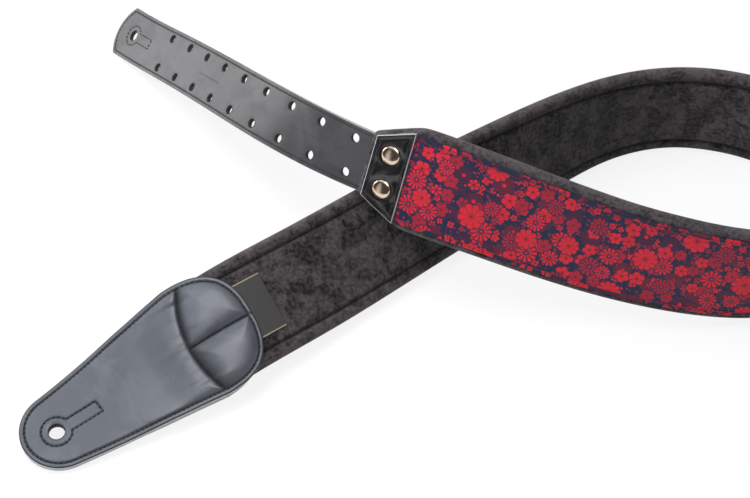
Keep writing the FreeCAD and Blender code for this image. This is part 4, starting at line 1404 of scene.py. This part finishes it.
    def grooves(self, run: np.ndarray, across: np.ndarray, past: np.ndarray,
                inset: np.ndarray) -> np.ndarray:
        """Depth below the padding: seams, scalloped stitching, rim, hole, cells' tuck."""
        seam = np.maximum(bump_at(past, 0.9) * (inset > self.seam_inset),
                          bump_at(across - self.centre_seam, 0.8) * (past > 0))
        stitched = np.maximum(bump_at(inset - self.seam_inset, 0.95),
                              bump_at(self.keyhole_gap(run, across), 0.85))
        scallop = 0.18 * np.sin((run + np.abs(across) * 0.4) * 2 * np.pi / self.thread.pitch)
        from_hole = np.hypot(run - LAYOUT.tab_hole, across)
        hole_dip = 0.35 * bump_at(from_hole - self.hole_radius, 1.2)
        ring_pad = 0.3 * bump_at(from_hole - 7.2, 1.3)
        tuck = np.where(across < self.centre_seam, 1.5, 0.9)
        after = 1 - blend(1.0, 0.0, (past + 0.6) / 1.2)
        from_edge = np.clip(inset - self.seam_inset, 0, None)
        deep = tuck * np.exp(-np.clip(past, 0, None) / 3.6) * after * (1 - np.exp(-from_edge / 2.5))
        return (0.9 * seam + (0.5 + scallop) * stitched + edge_drop(inset, 3.0) + hole_dip
                - ring_pad + deep)

    def surface(self, run: np.ndarray, across: np.ndarray, inset: np.ndarray) -> np.ndarray:
        """Level of the upper leather: what lies below, its padding, creases and grooves."""
        past, beside = self.seam_gaps(run, across)
        from_edge = np.clip(inset - self.seam_inset, 0, None)
        return (LAYOUT.over_back(run) + self.wall + self.padding(run, past, beside, from_edge)
                + self.creasing(run, across, past, from_edge)
                - self.grooves(run, across, past, inset))

    def grid(self) -> tuple[np.ndarray, np.ndarray, np.ndarray]:
        """Runs, acrosses and insets of the tab's grid, closing to a point at both ends."""
        share = np.linspace(0, 1, 280)
        share = 0.35 * share + 0.65 * (1 - np.cos(np.pi * share)) / 2
        run = (LAYOUT.tab_start + (LAYOUT.tab_end - LAYOUT.tab_start) * share)[:, None]
        across = self.half(run) * spread(121, 0.35)[None, :]
        run = np.broadcast_to(run, across.shape)
        inset = self.inset(run, across)
        inset[:, [0, -1]] = 0.0
        inset[[0, -1], :] = 0.0
        return run, across, inset

    def build_leathers(self) -> None:
        """The upper leather over its padding, and the lower leather."""
        run, across, inset = self.grid()
        past, _ = self.seam_gaps(run, across)
        beyond = (inset > self.seam_inset) & (past > -0.2)
        # painted shade: a wide dark band on the cells' side of the cross seam, and dark lines along
        # the centre seam, the stitch line and the keyhole
        shade = np.where(across < self.centre_seam, 6.4, 3.6)
        groove_shade = np.maximum(bump_at(past - 0.2, np.where(past > 0.2, shade, 0.7))
                          * (inset > self.seam_inset),
                          bump_at(across - self.centre_seam, 0.6) * beyond) * 0.9
        groove_shade = np.maximum(groove_shade, 0.85 * bump_at(inset - self.seam_inset, 0.85))
        groove_shade = np.maximum(groove_shade, 0.8 * bump_at(self.keyhole_gap(run, across), 0.75))
        upper = self.surface(run, across, inset)
        under = np.minimum(LAYOUT.over_back(run) - 0.05, upper - 0.5)
        top = slab("tab_face", run, across, upper, under, {"edge": inset, "groove_shade": groove_shade})
        low = -LAYOUT.under_front(run)
        rounding = 0.4 * edge_drop(inset, 0.6)
        dent = 0.25 * bump_at(inset - self.seam_inset, 0.7)
        underside = low - self.wall + rounding + dent - 0.05 * ripple(run, across)
        # painted shade along the lining's stitch line
        bottom = slab("tab_lining", run, across, underside, low,
                      {"edge": inset, "groove_shade": 0.3 * bump_at(inset - self.seam_inset, 0.4)})
        raw = np.zeros_like(run)
        filled = slab("tab_core_edge", run, across * 0.998, under - 0.05, low + 0.05,
                      {"edge": raw, "groove_shade": raw})
        rim = LAYOUT.tab_hole + self.hole_radius
        slit = (rim - 0.4, rim + self.slit)
        places = [(LAYOUT.tab_hole, 0.0, self.hole_radius)]
        for piece in (top, bottom, filled):
            cut(piece, hole_cutter(places, slit))
        self.settle(top, Finish.TAB,
                    ("tab_top_leather", "tab_filler", "tab_cell_upper", "tab_cell_lower"))
        self.settle(bottom, Finish.TAB, ("tab_bottom_leather",))
        self.settle(filled, Finish.CORE, ("tab_core",))
        wall = eyelets("tab_hole_wall", places, -2.5, 2.55)
        self.settle(wall, Finish.CORE, slot="tab_leather")

    def seam_line(self) -> np.ndarray:
        """The outline moved inwards by the seam's inset, along its own normals."""
        line = self.outline()
        keep = np.concatenate([[True], np.linalg.norm(np.diff(line, axis=0), axis=1) > 1e-6])
        line = line[keep]
        way = np.roll(line, -1, axis=0) - np.roll(line, 1, axis=0)
        way /= np.linalg.norm(way, axis=1)[:, None]
        inward = np.stack([way[:, 1], -way[:, 0]], axis=1) * self.seam_inset
        return line + inward

    def keyhole_line(self) -> np.ndarray:
        """Seam round the button hole and its slot."""
        return keyhole_path(LAYOUT.tab_hole, self.ring_radius, self.slot_half, self.slot_end)

    def build_sewing(self) -> None:
        """All stitches on the tab's face."""
        across = np.linspace(-self.wide_half, self.wide_half, 300)
        cross = np.stack([self.cross_seam(across), across], axis=1)
        deep = self.inset(cross[:, 0], cross[:, 1])
        inside = np.abs(across) < self.half(cross[:, 0])
        cross = cross[inside & (deep > self.seam_inset)]
        centre = np.array([[self.cross_seam(np.array(self.centre_seam)) + 0.5, self.centre_seam],
                           [LAYOUT.tab_end - self.seam_inset - 0.6, self.centre_seam]],
                          dtype=float)

        def level(run: np.ndarray, wide: np.ndarray) -> np.ndarray:
            """Level of the face at any place on the tab."""
            return self.surface(run, wide, self.inset(run, wide))

        paths = [self.seam_line(), cross, centre, self.keyhole_line()]
        self.stitch("tab_stitches", paths, level, 1.0, "tab_leather")

    def build(self) -> None:
        """Build the whole tab."""
        self.build_leathers()
        self.build_sewing()


# ---------------------------------------------------------------- tongue


@dataclass
class Tongue(Part):
    """The punched leather tongue: face, core and lining, sewn round the edge."""

    half_at_plate: float = 19.5
    half_at_end: float = 18.6
    end_radius: float = 26.3
    pitch: float = 27.2
    hole_radius: float = 3.0
    button_radius: float = 4.0
    button_ring: float = 7.4
    slot_half: float = 3.4
    slot_end: float = 1281.0
    slit: float = 17.0
    seam_inset: float = 2.6
    front_out: float = 2.62
    hidden_pairs: int = 2
    visible_pairs: int = 9
    pressed_lines: tuple[tuple[float, float], ...] = ((1188.5, 14.5), (1076.0, 12.0))
    thread: Thread = Thread(pitch=2.9, length=2.3, radius=0.46, sink=0.0)

    def half(self, run: np.ndarray) -> np.ndarray:
        """Half width, a little narrower towards the end."""
        share = (run - LAYOUT.screws) / (LAYOUT.tongue_end - LAYOUT.screws)
        return blend(self.half_at_plate, self.half_at_end, share)

    def end_run(self, across: np.ndarray) -> np.ndarray:
        """Run of the rounded end at a distance across: a circle's arc."""
        centre = LAYOUT.tongue_end - self.end_radius
        return centre + np.sqrt(self.end_radius ** 2 - across ** 2)

    def grid(self) -> tuple[np.ndarray, np.ndarray, np.ndarray]:
        """Runs, acrosses and insets of the tongue's grid."""
        share = np.concatenate([np.linspace(0, 0.985, 330), 1 - np.geomspace(0.014, 1e-4, 12),
                                [1.0]])[:, None]
        columns = spread(61, 0.4)[None, :]
        length = LAYOUT.tongue_end - LAYOUT.tongue_start
        across = columns * self.half(LAYOUT.tongue_start + length * share)
        run = LAYOUT.tongue_start + (self.end_run(across) - LAYOUT.tongue_start) * share
        return run, across, self.inset(run, across)

    def inset(self, run: np.ndarray, across: np.ndarray) -> np.ndarray:
        """Distance from the sides and from the end's arc."""
        centre = LAYOUT.tongue_end - self.end_radius
        from_side = self.half(run) - np.abs(across)
        from_arc = self.end_radius - np.hypot(run - centre, across)
        from_arc = np.where(run > centre, from_arc, self.end_radius)
        return np.clip(np.minimum(from_side, from_arc), 0, None)

    def holes(self) -> list[tuple[float, float, float]]:
        """Run, across and radius of every hole, the button hole last."""
        runs = [LAYOUT.screws + i * self.pitch
                for i in range(-self.hidden_pairs, self.visible_pairs + 1)]
        pairs = [(run, side * LAYOUT.screw_across, self.hole_radius)
                 for run in runs for side in (-1.0, 1.0)]
        return [*pairs, (LAYOUT.tongue_hole, 0.0, self.button_radius)]

    def keyhole_line(self) -> np.ndarray:
        """Seam round the button hole and its slot."""
        return keyhole_path(LAYOUT.tongue_hole, self.button_ring, self.slot_half, self.slot_end,
                            points=70)

    def seam_line(self) -> np.ndarray:
        """Line inside both edges and the end's arc."""
        radius = self.end_radius - self.seam_inset
        centre = LAYOUT.tongue_end - self.end_radius
        side = self.half_at_end - self.seam_inset
        turn = np.linspace(-math.asin(side / radius), math.asin(side / radius), 40)
        arc = np.stack([centre + radius * np.cos(turn), radius * np.sin(turn)], axis=1)
        runs = np.linspace(LAYOUT.body_end + 1.0, arc[0, 0], 60)
        edge = self.half(runs) - self.seam_inset
        low = np.stack([runs, -edge], axis=1)
        high = np.stack([runs[::-1], edge[::-1]], axis=1)
        return np.concatenate([low, arc, high])

    def face(self, run: np.ndarray, across: np.ndarray) -> np.ndarray:
        """Front level: flat with bevelled edges, dimples round the holes and at the seam."""
        inset = self.inset(run, across)
        bevel = 0.42 * edge_drop(inset, 0.8)
        row = (run - LAYOUT.screws) / self.pitch
        near = (row - np.round(row)) * self.pitch
        punched = np.hypot(near, np.abs(across) - LAYOUT.screw_across) - self.hole_radius
        last = LAYOUT.screws + self.visible_pairs * self.pitch + 4.9
        dimple = 0.16 * bump_at(np.clip(punched, 0, None), 1.1) * (run < last)
        sewn = 0.22 * bump_at(inset - self.seam_inset, 0.6)
        cushion = 0.18 * (1 - np.exp(-inset / 3.0))
        bend = 0.10 * ripple(run * 0.6, across * 0.4)
        return -(self.front_out + cushion + bend * (inset > 0.9) - bevel - dimple - sewn)

    def build(self) -> None:
        """Build the three layers, their hole walls and the stitches."""
        run, across, inset = self.grid()
        holes = self.holes()
        rim = LAYOUT.tongue_hole - self.button_radius
        slit = (rim - self.slit, rim + 0.4)
        # painted shade along the stitch line and the pressed lines
        groove_shade = 0.55 * bump_at(inset - self.seam_inset, 0.5)
        lined = sum(np.abs(run - middle) < reach for middle, reach in self.pressed_lines) > 0
        groove_shade = np.maximum(groove_shade, 0.3 * lined * (np.abs(across) < 0.3))
        bevel = 0.35 * edge_drop(inset, 0.7)
        flat = np.zeros_like(run)
        layers = (
            ("tongue_face", self.face(run, across), flat - 1.6, Finish.TONGUE,
             "tongue_top_leather", 1.0),
            ("tongue_middle", flat - 1.5, flat - 0.7, Finish.CORE, "tongue_core", 0.985),
            ("tongue_lining", flat - 0.6, 0.5 - bevel, Finish.TONGUE,
             "tongue_bottom_leather", 1.0),
        )
        for name, front, back, finish, node, share in layers:
            marks = {"edge": inset, "groove_shade": groove_shade if finish is Finish.TONGUE else flat}
            piece = slab(name, run, across * share, front, back, marks)
            cut(piece, hole_cutter(holes, slit))
            self.settle(piece, finish, (node,))
        walls = eyelets("tongue_hole_walls", holes, -2.72, 0.45)
        self.settle(walls, Finish.CORE, slot="tongue_leather")
        self.stitch("tongue_stitches", [self.seam_line(), self.keyhole_line()], self.face,
                    -1.0, "tongue_leather")


# ---------------------------------------------------------------- adjuster


def four_sides(low: float, high: float, half_low: float, half_high: float) -> list[np.ndarray]:
    """Seam lines round a trapezium between two runs, with its half width at each."""
    corners = np.array([[low, half_low], [high, half_high], [high, -half_high],
                        [low, -half_low], [low, half_low]])
    return [np.linspace(first, last, 30) for first, last in zip(corners, corners[1:])]


@dataclass
class Adjuster(Part):
    """The glossy plate, the patch behind it, and the two screw posts."""

    seam_inset: float = 2.9
    plate_out: float = 6.25
    cap_seat: float = 6.65
    patch_reach: float = 10.0
    patch_half: float = 22.0
    patch_seam: float = 2.2
    patch_under: float = 4.7
    patch_out: float = 5.9
    thread: Thread = Thread(pitch=2.7, length=2.1, radius=0.44)

    def plate_level(self, run: np.ndarray, across: np.ndarray) -> np.ndarray:
        """Front level of the plate: a pillow, pressed in at its seam and under the caps."""
        start, end = LAYOUT.plate_start, LAYOUT.plate_end
        inset = np.minimum(np.minimum(run - start, end - run),
                           (LAYOUT.plate_half(run) - np.abs(across)) * 0.91)
        inset = np.clip(inset, 0, None)
        pillow = 0.65 * (1 - np.exp(-np.clip(inset - self.seam_inset, 0, None) / 3.0))
        from_screw = np.hypot(run - LAYOUT.screws, np.abs(across) - LAYOUT.screw_across)
        caps = bump_at(np.clip(from_screw - 5.6, 0, None), 2.2)
        sewn = 0.14 * bump_at(inset - self.seam_inset, 0.65)
        bevel = 0.5 * edge_drop(inset, 0.8)
        wave = 0.26 * np.sin(across * 0.45 + 0.5 + 0.2 * run) * blend(0.0, 1.0, inset / 4.0)
        return -(self.plate_out + (pillow + wave) * (1 - caps) - sewn - bevel)

    def build_plate(self) -> None:
        """The trapezium of glossy leather with its sewn edge, and its liner."""
        start, end = LAYOUT.plate_start, LAYOUT.plate_end
        rows = (start + end) / 2 + (end - start) / 2 * spread(60, 0.4)
        run = np.broadcast_to(rows[:, None], (60, 110))
        across = LAYOUT.plate_half(run) * spread(110, 0.4)[None, :]
        inset = np.minimum(np.minimum(run - start, end - run),
                           LAYOUT.plate_half(run) - np.abs(across))
        inset = np.clip(inset, 0, None)
        # painted shade along the plate's stitch line
        groove_shade = 0.4 * bump_at(inset - self.seam_inset, 0.4)
        flat = np.zeros_like(run)
        plate = slab("gloss_plate", run, across, self.plate_level(run, across), flat - 5.1,
                     {"edge": np.clip(inset - 0.42, 0, None), "groove_shade": groove_shade})
        self.settle(plate, Finish.GLOSS, ("adjuster_plate",))
        liner_run = start + 2.4 + (run - start) * (end - start - 2.6) / (end - start)
        liner = slab("plate_lining", liner_run, across * 0.975, flat - 5.05, flat - 4.2,
                     {"edge": inset, "groove_shade": flat})
        self.settle(liner, Finish.CORE, ("plate_liner",))
        gap = self.seam_inset
        low, high = start + gap, end - gap
        wide = (LAYOUT.plate_half(at) - gap * 1.1 for at in (low, high))
        sides = four_sides(low, high, *wide)
        self.stitch("plate_stitches", sides, self.plate_level, -1.0, "gloss_leather")

    def build_patch(self) -> None:
        """The leather patch that the screws clamp against the velour."""
        rows = LAYOUT.screws + self.patch_reach * spread(40, 0.4)
        run = np.broadcast_to(rows[:, None], (40, 80))
        half = soft_min(np.full_like(run, self.patch_half), LAYOUT.half(run) - LAYOUT.rim, 1.0)
        across = half * spread(80, 0.4)[None, :]
        from_end = self.patch_reach - np.abs(run - LAYOUT.screws)
        inset = np.clip(np.minimum(from_end, half - np.abs(across)), 0, None)
        sewn = inset - self.patch_seam
        level = self.patch_out - 0.4 * edge_drop(inset, 0.8) - 0.25 * bump_at(sewn, 0.6)
        # painted shade along the patch's stitch line
        patch = slab("rear_patch", run, across, level, np.full_like(run, self.patch_under),
                     {"edge": np.clip(inset - 0.4, 0, None), "groove_shade": 0.4 * bump_at(sewn, 0.4)})
        self.settle(patch, Finish.GLOSS, ("rear_plate",))
        reach = self.patch_reach - self.patch_seam
        sides = four_sides(LAYOUT.screws - reach, LAYOUT.screws + reach, 19.4, 17.8)
        seam_out = self.patch_out - 0.22
        self.stitch("patch_stitches", sides, lambda run, across: np.full_like(run, seam_out),
                    1.0, "gloss_leather")

    def build_caps(self) -> None:
        """The domed caps with their hollow posts, each on its own body."""
        dome = [(5.5 * math.cos(t), -0.62 - 0.8 * math.sin(t))
                for t in np.linspace(0.1, math.pi / 2, 24)]
        profile = [(0.0, 10.6), (1.8, 10.6), (1.8, 12.15), (2.6, 12.15), (2.6, 0.35),
                   (5.6, 0.35), (5.85, 0.28), (6.0, 0.05), (6.0, -0.25), (5.9, -0.48),
                   (5.74, -0.6), (5.58, -0.58), *dome[:-1], (0.0, -1.42)]
        for index, side in ((1, 1.0), (2, -1.0)):
            centre, _, width, face = ROUTE.frame(LAYOUT.screws)
            place = (centre + width * side * LAYOUT.screw_across - face * self.cap_seat) * MM
            cap = lathe(f"domed_cap_{index}", profile, place, face)
            self.settle(cap, Finish.BRASS, (f"post_cap_{index}",), body=f"post_{index}")

    def dress_hardware(self) -> None:
        """Finish the washers and slotted screws behind the strap."""
        for index in (1, 2):
            for node in (f"rear_washer_{index}", f"rear_screw_{index}"):
                self.finishes.dress(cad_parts[node], Finish.NICKEL)

    def build(self) -> None:
        """Build the whole adjuster."""
        self.build_plate()
        self.build_patch()
        self.build_caps()
        self.dress_hardware()


# ---------------------------------------------------------------- studio


@dataclass
class Studio:
    """Pale floor, soft light and the camera."""

    target: tuple[float, float, float] = (-0.0513, -0.0179, 0.0)
    distance: float = 1.264
    elevation: float = 45.0
    lens: float = 92.4
    sky: float = 0.40

    def build_floor(self) -> None:
        """A white floor that keeps the soft shadow."""
        mesh = bpy.data.meshes.new("floor")
        reach = 6.0
        mesh.from_pydata([(-reach, -reach, -0.0004), (reach, -reach, -0.0004),
                          (reach, reach, -0.0004), (-reach, reach, -0.0004)], [], [(0, 1, 2, 3)])
        floor = add_object("floor", mesh)
        material = bpy.data.materials.new("paper floor")
        material.use_nodes = True
        work = Tree(material.node_tree)
        work.tree.nodes.clear()
        seen = work.add("ShaderNodeBsdfDiffuse", {"Color": (0.14, 0.141, 0.144, 1.0)})
        glow = work.add("ShaderNodeEmission", {"Color": (1.0, 1.0, 1.0, 1.0), "Strength": 0.85})
        both = work.add("ShaderNodeAddShader", {0: seen[0], 1: glow[0]})
        plain = work.add("ShaderNodeBsdfDiffuse", {"Color": (0.8, 0.8, 0.8, 1.0)})
        light = work.add("ShaderNodeLightPath")
        direct = work.math("MAXIMUM", light["Is Camera Ray"], light["Is Glossy Ray"])
        mixed = work.add("ShaderNodeMixShader", {0: direct, 1: plain[0], 2: both[0]})
        work.add("ShaderNodeOutputMaterial", {"Surface": mixed[0]})
        mesh.materials.append(material)

    def build_world(self) -> None:
        """Even sky, white where it is seen directly."""
        world = bpy.data.worlds.new("studio")
        world.use_nodes = True
        bpy.context.scene.world = world
        work = Tree(world.node_tree)
        work.tree.nodes.clear()
        light = work.add("ShaderNodeLightPath")
        x, y, z = (work.parts(work.add("ShaderNodeTexCoord")["Generated"])[i] for i in range(3))
        left = work.step(x, -0.55, -0.9) * work.step(y, -0.4, 0.15)
        above = work.step(z, 0.42, 0.98)
        low = work.step(y, -0.58, -0.68) * (work.step(x, -0.60, -0.70) * 0.62)
        bright = work.math("MAXIMUM", low, work.math("MAXIMUM", left, above))
        unseen = work.add("ShaderNodeMix", {0: light["Is Glossy Ray"], 2: self.sky,
                                            3: bright * 0.93 + 0.06})[0]
        strength = work.math("MAXIMUM", unseen, light["Is Camera Ray"])
        back = work.add("ShaderNodeBackground", {"Color": (1.0, 1.0, 1.0, 1.0),
                                                 "Strength": strength})
        work.add("ShaderNodeOutputWorld", {"Surface": back[0]})

    def add_lamp(self, name: str, place: tuple[float, float, float], size: float,
                 power: float, sheen: bool) -> None:
        """A square soft lamp that looks at the target.

        Args:
            name: Name of the lamp.
            place: Where it hangs.
            size: Length of its sides.
            power: Its power in watts.
            sheen: True for a lamp that only makes highlights, False for one that only lights.
        """
        lamp = bpy.data.lights.new(name, "AREA")
        lamp.shape = "SQUARE"
        lamp.size = size
        lamp.energy = power
        holder = add_object(name, lamp)
        holder.location = place
        holder.visible_diffuse = not sheen
        holder.visible_glossy = sheen
        self.aim(holder)

    def aim(self, holder: bpy.types.Object) -> None:
        """Turn an object so that its -Z looks at the target."""
        way = holder.location.__class__(self.target) - holder.location
        holder.rotation_euler = way.to_track_quat("-Z", "Y").to_euler()

    def build_camera(self) -> None:
        """The camera, looking down at the strap."""
        camera = bpy.data.cameras.new("camera")
        camera.lens = self.lens
        camera.sensor_width = 36.0
        camera.clip_start = 0.01
        camera.clip_end = 50.0
        holder = add_object("camera", camera)
        tilt = math.radians(self.elevation)
        x, y, z = self.target
        holder.location = (x, y - self.distance * math.cos(tilt),
                           z + self.distance * math.sin(tilt))
        self.aim(holder)
        bpy.context.scene.camera = holder

    def build(self) -> None:
        """Build the whole studio."""
        self.build_floor()
        self.build_world()
        self.add_lamp("overhead", (-0.70, 0.10, 1.2), 0.9, 18.0, sheen=False)
        self.add_lamp("side", (-1.1, -0.5, 0.8), 0.6, 5.0, sheen=False)
        self.add_lamp("left sheen", (-1.28, 0.65, 0.3), 0.9, 8.5, sheen=True)
        self.add_lamp("right sheen", (0.42, -0.25, 1.1), 0.8, 7.5, sheen=True)
        self.build_camera()
        bpy.context.scene.view_settings.view_transform = "Standard"


def main() -> None:
    """Build the studio, then the strap's parts in order."""
    logging.basicConfig(level=logging.INFO, format="%(message)s")
    Studio().build()
    finishes = Finishes()
    for part in (PaddedBody(finishes), EndTab(finishes), Tongue(finishes), Adjuster(finishes)):
        part.build()


if __name__ == "__main__":
    main()
